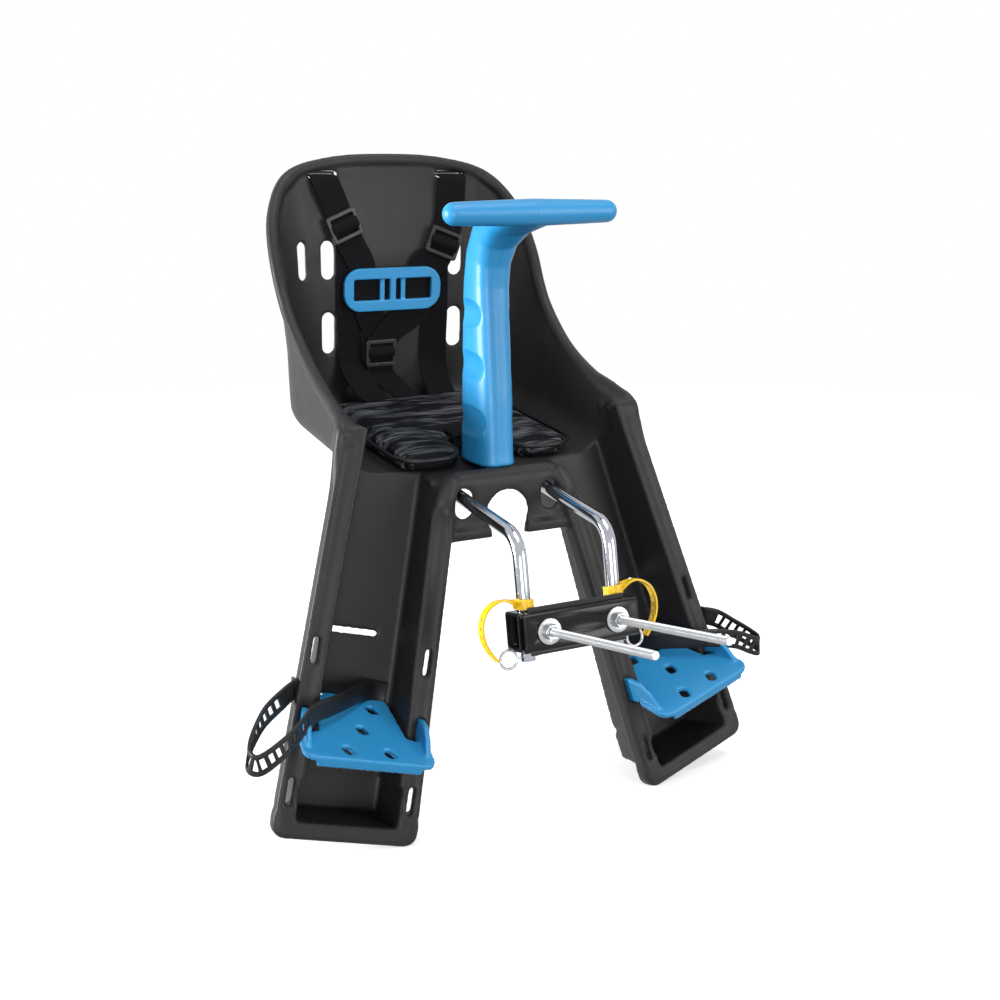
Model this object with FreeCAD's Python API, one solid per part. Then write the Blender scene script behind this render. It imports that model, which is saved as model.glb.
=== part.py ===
import FreeCAD, Part
import math
import os

V = FreeCAD.Vector

# All sizes are millimetres and degrees. X is the rider's right hand side seen from the front,
# the seat faces -Y and +Z is up. The layout starts at the lowest front corner of the footwells,
# and every finished piece is moved so that the centre of the head tube clamp is the origin.

# Moulded seat shell: wall and bucket
wall = 3.5
pan_pitch = 7.5
pan_front_y = 75.0
pan_front_z = 245.0
hip_half_width = 107.5
bucket_depth = 193.5
back_hollow = 5.0
bucket_front = -14.0
rim_radius = 4.6
rim_out = 2.0
rim_steps = 32
rim_sides = 12
# Where the rim's bead rises out of the leg frame: beyond its outer edge, up the leg, out of its front
rim_start = [(-6.0, 205.0, -9.0), (-3.5, 240.0, -7.0), (-0.5, 268.0, -5.5), (1.0, 282.0, -6.0)]
back_top_z = 472.0

# Bucket walls above the rounded foot: height, growth of half width, growth of depth, corner radius
pan_round = 20.0
pan_round_steps = 6
bucket_layers = [
    (22.0, 0.0, 0.0, 66.0),
    (60.0, 1.5, 1.5, 64.0),
    (95.0, 4.0, 2.5, 57.0),
    (125.0, 6.0, 4.0, 50.0),
    (155.0, 9.0, 9.0, 46.0),
    (185.0, 12.0, 18.0, 45.0),
    (215.0, 14.0, 29.0, 45.0),
]

# Rim line of the bucket from the knee to the middle of the top: x, y, z
rim_line = [
    (118.5, 66.0, 288.0),
    (113.5, 112.0, 300.0),
    (111.5, 158.0, 322.0),
    (112.5, 199.0, 357.0),
    (113.0, 222.0, 398.0),
    (106.5, 240.0, 431.0),
    (86.0, 258.0, 458.0),
    (46.0, 266.0, 469.0),
]

# Leg trough and its front frame, in the leg's own axes: across, up the leg and out of the front
leg_corner = V(101.4, 0.0, 0.0)
leg_axis = V(-0.27, 0.19, 1.0)
leg_across = V(98.6, 18.8, 26.1)
frame_width = 106.0
frame_start = -2.0
frame_low = -9.0
frame_taper = 0.028
frame_corner = 24.0
frame_band = 15.0
frame_skirt = 14.0
frame_groove = 5.0
frame_edge_round = 2.2
knee_up = 289.0
knee_round = 12.0
inner_up = 262.0
inner_round = 13.0
groove_inner_up = 232.0
groove_below_knee = 13.0
trough_depth_low = 48.0
trough_depth_high = 36.0
trough_floor = 22.0
trough_draft = 4.5
trough_corner = 9.0
foot_steps = (23.5, 73.5, 123.5)
hook_slot_length = 21.0
hook_slot_width = 5.0
hook_slot_in = 8.0
back_slot_length = 38.0
back_slot_height = 7.0
back_slot_up = 14.0
back_slot_shift = 6.0

# Bridge between the legs, which carries the handle and lets the carrier bar through
bridge_front_y = 49.0
bridge_back_y = 118.0
bridge_top_z = 250.0
bridge_bottom_z = 200.0
bridge_half_top = 50.0
bridge_half_bottom = 62.0
bridge_round = 20.0
bridge_edge = 9.0
bridge_lip = 4.0
arch_half_top = 54.0
arch_half_bottom = 67.0
arch_round = 24.0
keyhole_radius = 17.0
keyhole_z = 217.0
keyhole_draft = 4.0

# Strap slots of the backrest
strap_width = 24.0
strap_thick = 1.5
top_slot_x = 58.0
top_slot_up = 189.0
top_slot_height = 5.0
slot_x = 58.0
slot_width = 11.0
slot_spans = ((314.0, 348.0), (376.0, 407.0))
wing_slot_x = 82.0
wing_slot_length = 30.0
wing_slot_width = 7.0
crotch_slot_y = 40.0

# Carrier bar
bar_radius = 5.0
bar_x = 36.0
bar_bend = 20.0
bar_rise = 6.0
bar_rear_y = 228.0
bar_hole_y = 52.0
bar_hole_z = 230.6
bar_hole_drop = 3.5
bar_hole_length = 20.0
bar_hole_width = 13.0
bar_end_below = 21.0
bar_play = 0.4
saddle_ys = (80.0, 126.0)
saddle_length = 18.0
saddle_gap = 0.8
saddle_top = 13.0
saddle_screw_x = 17.0
saddle_beyond = 9.0
screw_bore = 9.0
saddle_plate = 2.5
screw_radius = 2.5
screw_head_radius = 4.5
screw_head = 3.0
screw_grip = 6.0

# Head tube clamp, in its own axes: across, forward along the bolts and up
clamp_tilt = 10.5
clamp_centre = V(0.0, -52.25, 159.85)
tube_length = 90.0
tube_height = 27.0
tube_depth = 20.0
tube_wall = 2.0
tube_round = 3.0
bar_back = 8.0
liner_thick = 2.0
liner_extra = 3.0
jaw_depth = 7.0
jaw_plate = 3.0
jaw_vee = 2.0
jaw_lip = 2.5
bolt_x = 27.3
bolt_radius = 3.0
bolt_reach = 130.0
thread_radius = 2.95
thread_gap = 1.0
bolt_play = 0.35
washer_radius = 9.0
washer_thick = 1.6
nut_flats = 10.0
nut_thick = 5.0
head_thick = 4.0

# Safety clips and straps
clip_wire = 1.0
clip_drop = 18.0
clip_ring = 6.5
clip_ring_steps = 20
clip_wire_sides = 8
clip_lap = 0.5
clip_inside = 3.0
safety_width = 8.0
safety_thick = 1.6
safety_bulge = 25.0
safety_rise = 3.0

# Handle
handle_base_y = 83.0
handle_width = 30.0
handle_depth = 52.0
handle_wall = 3.0
handle_square = 3.2
handle_sides = 24
grip_y = 15.0
grip_z = 437.0
grip_half = 67.7
grip_radius = 9.5
grip_end_radius = 8.0
thumb_heights = (281.0, 321.0, 361.0)
thumb_radius = 16.0
thumb_deep = 2.6
plug_width = 18.0
plug_depth = 34.0
plug_drop = 3.0
handle_screw_radius = 2.95
handle_screw_head = 4.0
handle_plate_thick = 2.0
half_gap = 0.1

# Footrests
rest_step = 1
rest_thick = 4.0
rest_front = 38.5
rest_slope = 22.0
rest_front_up = 56.0
rest_side = 4.0
rest_round = 10.0
rest_hole_pitch = 15.0
rest_hole_length = 12.0
rest_hole_width = 7.0

# Foot straps
ladder_width = 15.0
ladder_thick = 2.0
ladder_hole = 7.0
ladder_pitch = 8.0
ladder_gap = 3.6
strap_loops = (0.7, 1.0)

# Harness
strap_off = 3.8
lap_off = 1.2
strap_layer = 2.0
strap_tail = 6.0
chest_strap_xs = (28.0, 22.0)
chest_half = 44.0
chest_height = 36.0
chest_thick = 4.0
chest_up = 97.0
chest_round = 15.0
chest_shift = -2.0
strap_turn = 1.2
window_x = 19.0
window_width = 33.0
window_height = 18.0
window_bar_in = 7.0
glide_width = 29.0
glide_height = 23.0
glide_thick = 3.0
glide_bar = 3.5
glide_ups = (150.0, 134.0)
glide_xs = (44.0, 45.5)
glide_lean = 22.0
crotch_x = -12.0
crotch_up = 43.0
stop_length = 27.0
stop_height = 7.0

# Pad
pad_thick = 12.0
pad_half_width = 78.0
pad_front = 8.0
pad_back = 158.0
pad_notch_half = 23.0
pad_notch_depth = 46.0
pad_round = 22.0
pad_skew = 4.0

clearance = 0.3


def pan_place():
    turn = FreeCAD.Rotation(V(1, 0, 0), pan_pitch)
    return FreeCAD.Placement(V(0, pan_front_y, pan_front_z), turn)


def leg_place():
    up = V(leg_axis)
    up.normalize()
    across = leg_across - up * leg_across.dot(up)
    across.normalize()
    return FreeCAD.Placement(leg_corner, FreeCAD.Rotation(across, up, across.cross(up), "XYZ"))


def clamp_place():
    turn = FreeCAD.Rotation(V(1, 0, 0), -clamp_tilt)
    return FreeCAD.Placement(clamp_centre, turn)


def placed(shape, place):
    moved = shape.copy()
    moved.Placement = place.multiply(moved.Placement)
    return moved


def mirrored(shape):
    return shape.mirror(V(0, 0, 0), V(1, 0, 0))


def box(x0, x1, y0, y1, z0, z1):
    return Part.makeBox(x1 - x0, y1 - y0, z1 - z0, V(x0, y0, z0))


def curve(points):
    spline = Part.BSplineCurve()
    spline.interpolate(points)
    return spline.toShape()


def rounded_wire(corners, radii):
    """A closed flat outline through the corners, each rounded by its own radius."""
    count = len(corners)
    starts = []
    ends = []
    middles = []
    for i in range(count):
        here = corners[i]
        before = corners[i - 1] - here
        after = corners[(i + 1) % count] - here
        before.normalize()
        after.normalize()
        half = before.getAngle(after) / 2
        reach = radii[i] / math.tan(half)
        bisector = before + after
        bisector.normalize()
        starts.append(here + before * reach)
        ends.append(here + after * reach)
        middles.append(here + bisector * (radii[i] / math.sin(half) - radii[i]))
    edges = []
    for i in range(count):
        if radii[i] > 0:
            edges.append(Part.Arc(starts[i], middles[i], ends[i]).toShape())
        edges.append(Part.makeLine(ends[i], starts[(i + 1) % count]))
    return Part.Wire(edges)


def plate(corners, radii, direction):
    return Part.Face(rounded_wire(corners, radii)).extrude(direction)


def slot(centre, along, across, through, length, width):
    """A round-ended slot cutter, centred on its place and as long as the through vector."""
    along = V(along)
    along.normalize()
    across = V(across)
    across.normalize()
    a = along * (length / 2)
    c = across * (width / 2)
    base = centre - through * 0.5
    corners = [base - a - c, base + a - c, base + a + c, base - a + c]
    return plate(corners, [width / 2 * 0.98] * 4, through)


def band(points, sides, width, thick):
    """A flat strap along the points; each side vector points across the strap there."""
    sections = []
    for i, point in enumerate(points):
        before = points[max(i - 1, 0)]
        after = points[min(i + 1, len(points) - 1)]
        ahead = after - before
        ahead.normalize()
        side = sides[i] - ahead * sides[i].dot(ahead)
        side.normalize()
        face = ahead.cross(side)
        s = side * (width / 2)
        f = face * (thick / 2)
        corners = [point - s - f, point + s - f, point + s + f, point - s + f]
        sections.append(Part.makePolygon(corners + [corners[0]]))
    return Part.makeLoft(sections, True, True)


def ring(centre, ahead, radius, sides):
    """A many-sided ring square to the path, always turned the same way."""
    back = V(0, 0.8, -0.6)
    u = back - ahead * back.dot(ahead)
    u.normalize()
    w = ahead.cross(u)
    points = []
    for k in range(sides):
        t = 2 * math.pi * (k + 0.5) / sides
        points.append(centre + u * (radius * math.cos(t)) + w * (radius * math.sin(t)))
    return Part.makePolygon(points + [points[0]])


def soft_block(outline, depth_wires):
    """A block lofted through outlines of one shape; each step gives its inset and its place."""
    wires = []
    for inset, place in depth_wires:
        corners, radii = outline(inset, place)
        wires.append(rounded_wire(corners, radii))
    return Part.makeLoft(wires, True, True)


def round_steps(radius, start, direction, steps=3):
    """Insets and places that turn an edge over by a quarter round."""
    result = []
    for k in range(steps + 1):
        t = math.radians(90.0 * k / steps)
        result.append((radius * (1 - math.cos(t)), start + direction * radius * math.sin(t)))
    return result


# Seat shell

def bucket_layer(height, width, depth, corner):
    """One layer of the bucket as a closed wire in the pan's axes."""
    k = corner * (1 - math.sqrt(0.5))
    side = V(width, depth - corner, height)
    turn = V(width - k, depth - k, height)
    back = V(width - corner, depth, height)
    middle = V(0, depth + back_hollow, height)
    front = V(width, bucket_front, height)
    other = [V(-p.x, p.y, p.z) for p in (front, side, turn, back)]
    edges = [
        Part.makeLine(front, side),
        Part.Arc(side, turn, back).toShape(),
        Part.Arc(back, middle, other[3]).toShape(),
        Part.Arc(other[3], other[2], other[1]).toShape(),
        Part.makeLine(other[1], other[0]),
        Part.makeLine(other[0], front),
    ]
    return Part.Wire(edges)


def bucket_solid(grow):
    """The bucket as a block: a rounded foot, then the walls, all grown by the wall for its outside."""
    first = bucket_layers[0]
    radius = pan_round + grow
    layers = []
    for step in range(pan_round_steps):
        angle = math.radians(90.0 * step / pan_round_steps)
        inset = radius * (1 - math.sin(angle))
        height = pan_round - radius * math.cos(angle)
        layers.append((height, -inset, -inset, first[3] - inset))
    layers += bucket_layers
    wires = []
    for height, wider, deeper, corner in layers:
        width = hip_half_width + wider + grow
        depth = bucket_depth + deeper + grow
        wires.append(bucket_layer(height, width, depth, corner + grow))
    return placed(Part.makeLoft(wires, True, True), pan_place())


def rim_cutter():
    """Everything in front of and above the rim line."""
    side = [V(0, y, z) for x, y, z in rim_line if z < back_top_z - 20]
    last = side[-1]
    tail = [V(0, last.y + 8, back_top_z + 40), V(0, 0, back_top_z + 40), V(0, 0, side[0].z)]
    edges = [curve(side)]
    path = [last] + tail + [side[0]]
    edges += [Part.makeLine(path[i], path[i + 1]) for i in range(len(path) - 1)]
    profile = Part.Face(Part.Wire(edges))
    profile.translate(V(-200, 0, 0))
    front = profile.extrude(V(400, 0, 0))
    crown = [V(x + rim_radius / 2, 0, z + 1) for x, y, z in rim_line if z > back_top_z - 85]
    crown += [V(0, 0, back_top_z)] + [V(-p.x, 0, p.z) for p in reversed(crown)]
    first = crown[0]
    top = back_top_z + 60
    ends = [V(-200, 0, first.z), V(-200, 0, top), V(200, 0, top), V(200, 0, first.z)]
    path = [crown[-1]] + ends + [first]
    edges = [curve(crown)]
    edges += [Part.makeLine(path[i], path[i + 1]) for i in range(len(path) - 1)]
    above = Part.Face(Part.Wire(edges)).extrude(V(0, 400, 0))
    return [front, above]


def rim_bead():
    """The rolled edge of the bucket, from one knee over the top to the other."""
    low = rim_line[0][2]
    rise = rim_line[-1][2] - low
    right = [leg_place().multVec(V(frame_edge(up, True) + beyond, up, out)) for beyond, up, out in rim_start]
    for x, y, z in rim_line[1:]:
        share = rim_out * (z - low) / rise
        right.append(V(x + rim_out, y + share, z + share / 2))
    left = [V(-p.x, p.y, p.z) for p in right]
    top = V(0, right[-1].y + 1.5, right[-1].z + 2.5)
    path = curve(right + [top] + list(reversed(left)))
    rings = []
    for step in range(rim_steps + 1):
        at = path.FirstParameter + (path.LastParameter - path.FirstParameter) * step / rim_steps
        rings.append(ring(path.valueAt(at), path.tangentAt(at), rim_radius, rim_sides))
    return Part.makeLoft(rings, True, True)


def frame_edge(up, outer):
    if outer:
        return frame_start + frame_width - frame_taper * up
    return frame_start + frame_taper * up


def frame_outline(inset, out, top_in, top_out):
    low = frame_low + inset
    corners = [
        V(frame_edge(top_in, False) + inset, top_in, out),
        V(frame_edge(low, False) + inset, low, out),
        V(frame_edge(low, True) - inset, low, out),
        V(frame_edge(top_out, True) - inset, top_out, out),
    ]
    r = max(frame_corner - inset, 5.0)
    return corners, [inner_round - inset, r, r, max(knee_round - inset, 3.0)]


def trough_depth(up):
    """Depth of the trough's back wall below the frame's front, at a height up the leg."""
    slope = (trough_depth_low - trough_depth_high) / 220.0
    return trough_depth_low - slope * (up - trough_floor)


def trough_outline(inset, low, top, depth_low, depth_top):
    return [
        V(frame_edge(top, False) + inset, top, depth_top),
        V(frame_edge(low, False) + inset, low, depth_low),
        V(frame_edge(low, True) - inset, low, depth_low),
        V(frame_edge(top, True) - inset, top, depth_top),
    ]


def trough_solid(grow, out):
    """The trough as a tapered block, grown by the wall for its outside."""
    inset = frame_band - grow
    top = knee_up + 20
    low = trough_floor - grow
    r = trough_corner + grow
    front = trough_outline(inset, low, top, out, out)
    low += trough_draft
    a = -trough_depth(low) - grow
    b = -trough_depth(top) - grow
    back = trough_outline(inset + trough_draft, low, top, a, b)
    wires = [rounded_wire(front, [2, r, r, 2]), rounded_wire(back, [2, r, r, 2])]
    return Part.makeLoft(wires, True, True)


def leg_frame():
    """The stepped band round the opening, with its groove and back skirt."""
    steps = [(0.0, -frame_skirt)] + round_steps(frame_edge_round, -frame_edge_round, 1)
    body = soft_block(lambda inset, out: frame_outline(inset, out, inner_up, knee_up), steps)
    groove_up = knee_up - groove_below_knee
    inner, radii = frame_outline(wall, -frame_groove, groove_inner_up, groove_up)
    groove = plate(inner, radii, V(0, 0, 2 * frame_groove))
    under, radii = frame_outline(wall, -2 * frame_skirt, groove_inner_up, groove_up)
    hollow = plate(under, radii, V(0, 0, 2 * frame_skirt - frame_groove - wall))
    keep = trough_solid(wall, 20.0)
    return body.cut([groove.cut(keep), hollow.cut(keep)])


def hook_x(up, outer):
    """Middle of the hook slots across the frame's band."""
    edge = frame_edge(up, outer)
    return edge - hook_slot_in if outer else edge + hook_slot_in


def hook_slots():
    cutters = []
    for step in foot_steps:
        for outer in (False, True):
            centre = V(hook_x(step, outer), step, -frame_groove)
            through = V(0, 0, 4 * wall)
            cutters.append(slot(centre, V(0, 1, 0), V(1, 0, 0), through, hook_slot_length, hook_slot_width))
        up = step + back_slot_up
        x = frame_start + frame_width / 2 + back_slot_shift
        centre = V(x, up, -trough_depth(up) - wall / 2)
        through = V(0, 0, 4 * wall)
        cutters.append(slot(centre, V(1, 0, 0), V(0, 1, 0), through, back_slot_length, back_slot_height))
    return cutters


def bridge_outline(inset, y, low):
    top = bridge_top_z - inset
    corners = [V(-bridge_half_bottom + inset, y, low), V(bridge_half_bottom - inset, y, low),
               V(bridge_half_top - inset, y, top), V(-bridge_half_top + inset, y, top)]
    r = bridge_round - inset
    return corners, [0, 0, r, r]


def bridge():
    """The hollow block between the legs, open below and behind, with a lip along its foot."""
    steps = [(0.0, bridge_back_y)] + round_steps(bridge_edge, bridge_front_y + bridge_edge, -1)
    body = soft_block(lambda inset, y: bridge_outline(inset, y, bridge_bottom_z), steps)
    outline, radii = bridge_outline(wall, bridge_front_y + wall, bridge_bottom_z - 5)
    inside = plate(outline, radii, V(0, bridge_back_y, 0))
    half = bridge_half_bottom - 6
    front = bridge_front_y - bridge_lip
    lip = box(-half, half, front, bridge_front_y + 1, bridge_bottom_z, bridge_bottom_z + bridge_lip * 2)
    return body.cut(inside).fuse(lip)


def arch_trim():
    """The space above the rounded shoulders, where the leg frames run into the bridge."""
    y = bridge_front_y - 40
    deep = V(0, 66, 0)
    low = bridge_bottom_z
    corners = [V(-arch_half_bottom, y, low), V(arch_half_bottom, y, low),
               V(arch_half_top, y, bridge_top_z), V(-arch_half_top, y, bridge_top_z)]
    arch = plate(corners, [0, 0, arch_round, arch_round], deep)
    wide = arch_half_bottom + 10
    above = bridge_top_z - arch_round
    return box(-wide, wide, y, y + deep.y, above, bridge_top_z + 80).cut(arch)


def bridge_cutters():
    y = bridge_front_y - 20
    low = bridge_bottom_z - 5
    r = keyhole_radius
    arch = Part.makeCylinder(r, 40, V(0, y, keyhole_z), V(0, 1, 0))
    foot = r - keyhole_draft
    corners = [V(-r, y, keyhole_z), V(-foot, y, low), V(foot, y, low), V(r, y, keyhole_z)]
    cutters = [arch.fuse(plate(corners, [0] * 4, V(0, 40, 0)))]
    for x in (-bar_x, bar_x):
        centre = V(x, bar_hole_y, bar_hole_z - bar_hole_drop)
        cutters.append(slot(centre, V(0, 0, 1), V(1, 0, 0), V(0, 20, 0), bar_hole_length, bar_hole_width))
    w = plug_width / 2
    d = plug_depth / 2
    cutters.append(box(-w, w, handle_base_y - d, handle_base_y + d, bridge_top_z - 20, bridge_top_z + 20))
    return cutters


def strap_cutters():
    cutters = []
    for side in (-1, 1):
        centre = back_point(side * top_slot_x, top_slot_up, 0)
        cutters.append(slot(centre, V(1, 0, 0), V(0, 0, 1), V(0, 40, 0), strap_width + 3, top_slot_height))
        for low, high in slot_spans:
            centre = V(side * slot_x, 265.0, (low + high) / 2)
            cutters.append(slot(centre, V(0, 0, 1), V(1, 0, 0), V(0, 50, 0), high - low, slot_width))
        centre = V(side * wing_slot_x, 250.0, sum(slot_spans[1]) / 2)
        cutters.append(slot(centre, V(0, 0, 1), V(1, 0, 0), V(0, 50, 0), wing_slot_length, wing_slot_width))
    crotch = pan_place().multVec(V(0, crotch_slot_y, -wall / 2))
    cutters.append(slot(crotch, V(1, 0, 0), V(0, 1, 0), V(0, 0, 12), strap_width + 3, top_slot_height))
    return cutters


def bar_place():
    turn = FreeCAD.Rotation(V(1, 0, 0), bar_rise)
    return FreeCAD.Placement(V(0, bar_hole_y, bar_hole_z), turn)


def bar_saddles():
    """Blocks under the pan that bear on the carrier bar, grooved for it and bored for their screws."""
    blocks = []
    for y in saddle_ys:
        half = saddle_length / 2
        wide = bar_x + saddle_beyond + 1
        block = box(-wide, wide, y - half, y + half, saddle_gap, saddle_top)
        cutters = []
        for side in (-1, 1):
            start = V(side * bar_x, y - saddle_length, 0)
            cutters.append(Part.makeCylinder(bar_radius + clearance, 2 * saddle_length, start, V(0, 1, 0)))
            start = V(side * saddle_screw_x, y, 0)
            cutters.append(Part.makeCylinder(screw_radius, screw_bore, start, V(0, 0, 1)))
        blocks.append(placed(block.cut(cutters), bar_place()))
    return blocks


def leg_fronts():
    """The space in front of both leg openings, above the bridge."""
    space = box(-30, 160, 180, 360, -frame_groove, 150)
    space = placed(space, leg_place())
    return [space, mirrored(space)]


def seat_shell():
    outside = bucket_solid(wall)
    inside = bucket_solid(0.0)
    leg = placed(trough_solid(wall, -frame_groove), leg_place())
    frame = placed(leg_frame(), leg_place())
    leg_inside = placed(trough_solid(0.0, 60.0), leg_place())
    slots = [placed(s, leg_place()) for s in hook_slots()]
    trim = rim_cutter()
    middle = box(-90, 90, -100, 260, bridge_top_z, 600)
    shoulders = arch_trim()
    leg = leg.cut(trim + [middle, shoulders])
    frame = frame.cut(shoulders)
    skin = outside.cut(trim + leg_fronts())
    body = skin.fuse([leg, mirrored(leg), bridge()] + bar_saddles())
    body = body.cut(inside)
    body = body.fuse([frame, mirrored(frame), rim_bead()])
    cutters = [leg_inside, mirrored(leg_inside)]
    cutters += slots + [mirrored(s) for s in slots]
    body = body.cut(cutters)
    body = body.cut(bridge_cutters() + strap_cutters())
    return body.removeSplitter()


# Carrier bar and its fastening

def rounded_path(points, radius):
    """A line through the points with every corner bent to the radius."""
    edges = []
    start = points[0]
    for i in range(1, len(points) - 1):
        here = points[i]
        before = points[i - 1] - here
        after = points[i + 1] - here
        before.normalize()
        after.normalize()
        half = before.getAngle(after) / 2
        reach = radius / math.tan(half)
        bisector = before + after
        bisector.normalize()
        middle = here + bisector * (radius / math.sin(half) - radius)
        edges.append(Part.makeLine(start, here + before * reach))
        edges.append(Part.Arc(here + before * reach, middle, here + after * reach).toShape())
        start = here + after * reach
    edges.append(Part.makeLine(start, points[-1]))
    return Part.Wire(edges)


def pipe(path, radius):
    start = path.Edges[0].valueAt(path.Edges[0].FirstParameter)
    ahead = path.Edges[0].tangentAt(path.Edges[0].FirstParameter)
    return path.makePipeShell([Part.Wire(Part.makeCircle(radius, start, ahead))], True, True)


def carrier_bar():
    """One round steel bar: two legs down into the clamp, joined behind under the pan."""
    low = clamp_place().multVec(V(bar_x, bar_back, -tube_height / 2 - bar_end_below + 13.5))
    up = clamp_place().Rotation.multVec(V(0, 0, 1))
    along = bar_place().Rotation.multVec(V(0, 1, 0))
    hole = V(bar_x, bar_hole_y, bar_hole_z)
    across = up.y * along.z - up.z * along.y
    gap = hole - low
    reach = (gap.y * along.z - gap.z * along.y) / across
    corner = low + up * reach
    rear = hole + along * ((bar_rear_y - bar_hole_y) / along.y)
    right = [low, corner, rear]
    left = [V(-p.x, p.y, p.z) for p in reversed(right)]
    bar = pipe(rounded_path(right + left, bar_bend), bar_radius)
    holes = []
    for side in (-1, 1):
        at = clamp_place().multVec(V(side * bar_x, bar_back, -clip_drop))
        holes.append(Part.makeCylinder(clip_wire + clearance, 30, at - V(15, 0, 0), V(1, 0, 0)))
    return bar.cut(holes)


def bar_clamp(y):
    half = saddle_length / 2
    low = -bar_radius - saddle_plate
    wide = bar_x + saddle_beyond
    strip = box(-wide, wide, y - half, y + half, low, -bar_radius)
    holes = [Part.makeCylinder(screw_radius + clearance, 10, V(x, y, low - 3), V(0, 0, 1))
             for x in (-saddle_screw_x, saddle_screw_x)]
    return placed(strip.cut(holes), bar_place())


def bar_screws():
    screws = []
    low = -bar_radius - saddle_plate
    for y in saddle_ys:
        for x in (-saddle_screw_x, saddle_screw_x):
            shank = Part.makeCylinder(screw_radius - 0.05, screw_grip - low, V(x, y, low), V(0, 0, 1))
            head = Part.makeCylinder(screw_head_radius, screw_head, V(x, y, low - screw_head), V(0, 0, 1))
            hexagon = hex_prism(5.0, 2.0, V(x, y, low - screw_head), V(0, 0, 1))
            screws.append(placed(shank.fuse(head).cut(hexagon), bar_place()))
    return Part.makeCompound(screws)


def hex_prism(flats, height, base, direction):
    radius = flats / math.sqrt(3)
    turns = [math.radians(60 * k) for k in range(7)]
    points = [V(radius * math.cos(t), radius * math.sin(t), 0) for t in turns]
    prism = Part.Face(Part.makePolygon(points)).extrude(V(0, 0, height))
    prism.Placement = FreeCAD.Placement(base, FreeCAD.Rotation(V(0, 0, 1), direction))
    return prism


# Head tube clamp, forward is -Y in its own axes

def bolt_holes(y0, y1, radius):
    return [Part.makeCylinder(radius, y1 - y0, V(x, y0, 0), V(0, 1, 0)) for x in (-bolt_x, bolt_x)]


def section_tube(half_height, y0, y1, radius, half_length):
    corners = [V(-half_length, y0, -half_height), V(-half_length, y1, -half_height),
               V(-half_length, y1, half_height), V(-half_length, y0, half_height)]
    return plate(corners, [radius] * 4, V(2 * half_length, 0, 0))


def clamp_tube():
    half = tube_height / 2
    body = section_tube(half, 0, tube_depth, tube_round, tube_length / 2)
    inner_round = tube_round - tube_wall * 0.6
    bore = section_tube(half - tube_wall, tube_wall, tube_depth - tube_wall, inner_round, tube_length)
    cutters = [bore] + bolt_holes(-5, tube_depth + 5, bolt_radius + bolt_play)
    for x in (-bar_x, bar_x):
        start = V(x, bar_back, -tube_height)
        cutters.append(Part.makeCylinder(bar_radius + bar_play, 2 * tube_height, start, V(0, 0, 1)))
    body = body.cut(cutters)
    return placed(body, clamp_place())


def jaw_liner():
    half = tube_height / 2 + liner_extra
    long = tube_length / 2 - 7
    body = box(-long, long, -liner_thick, 0, -half, half)
    body = body.cut(bolt_holes(-5, 5, bolt_radius + 1.0))
    return placed(body, clamp_place())


def front_jaw():
    half = tube_height / 2
    front = -liner_thick - jaw_depth
    body = section_tube(half, front, -liner_thick + 4, tube_round, tube_length / 2)
    channel = box(-tube_length, tube_length, front + jaw_plate, 10, -half + jaw_lip, half - jaw_lip)
    behind = box(-tube_length, tube_length, -liner_thick, 10, -half - 5, half + 5)
    vee = plate([V(-16, 1, -30), V(0, -liner_thick - jaw_vee, -30), V(16, 1, -30)], [0, 0, 0], V(0, 0, 60))
    body = body.cut([channel, behind, vee] + bolt_holes(front - 5, 5, bolt_radius + bolt_play))
    return placed(body, clamp_place())


def clamp_bolts():
    front = -liner_thick - jaw_depth
    shoulder = front - washer_thick - nut_thick - thread_gap
    end = front - bolt_reach
    along = V(0, 1, 0)
    bolts = []
    for x in (-bolt_x, bolt_x):
        shank = Part.makeCylinder(bolt_radius, tube_depth - shoulder, V(x, shoulder, 0), along)
        thread = Part.makeCylinder(thread_radius, shoulder - end, V(x, end, 0), along)
        head = hex_prism(nut_flats, head_thick, V(x, tube_depth, 0), along)
        bolts.append(placed(shank.fuse([thread, head]), clamp_place()))
    return Part.makeCompound(bolts)


def clamp_washers():
    front = -liner_thick - jaw_depth - washer_thick
    rings = []
    for x in (-bolt_x, bolt_x):
        disc = Part.makeCylinder(washer_radius, washer_thick, V(x, front, 0), V(0, 1, 0))
        disc = disc.cut(bolt_holes(front - 5, front + 5, bolt_radius + bolt_play))
        rings.append(placed(disc, clamp_place()))
    return Part.makeCompound(rings)


def clamp_nuts():
    front = -liner_thick - jaw_depth - washer_thick - nut_thick
    nuts = []
    for x in (-bolt_x, bolt_x):
        nut = hex_prism(nut_flats, nut_thick, V(x, front, 0), V(0, 1, 0))
        nuts.append(placed(nut.cut(bolt_holes(front - 5, front + 10, bolt_radius + 0.05)), clamp_place()))
    return Part.makeCompound(nuts)


def clip_start():
    """Where the clip's ring starts, near the end of the clamp tube."""
    return tube_length / 2 - clip_lap


def clip_ring_loop():
    """The finger ring of the wire clip, as a closed chain of short straight wires."""
    centre = V(clip_start() + clip_ring, bar_back, -clip_drop)
    rings = []
    for step in range(clip_ring_steps + 1):
        turn = 2 * math.pi * step / clip_ring_steps
        out = V(math.cos(turn), 0, math.sin(turn))
        wire = []
        for k in range(clip_wire_sides + 1):
            t = 2 * math.pi * k / clip_wire_sides
            reach = clip_ring + clip_wire * math.cos(t)
            wire.append(centre + out * reach + V(0, clip_wire * math.sin(t), 0))
        rings.append(Part.makePolygon(wire))
    half = clip_ring_steps // 2
    return Part.makeLoft(rings[:half + 1], True, True).fuse(Part.makeLoft(rings[half:], True, True))


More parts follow.
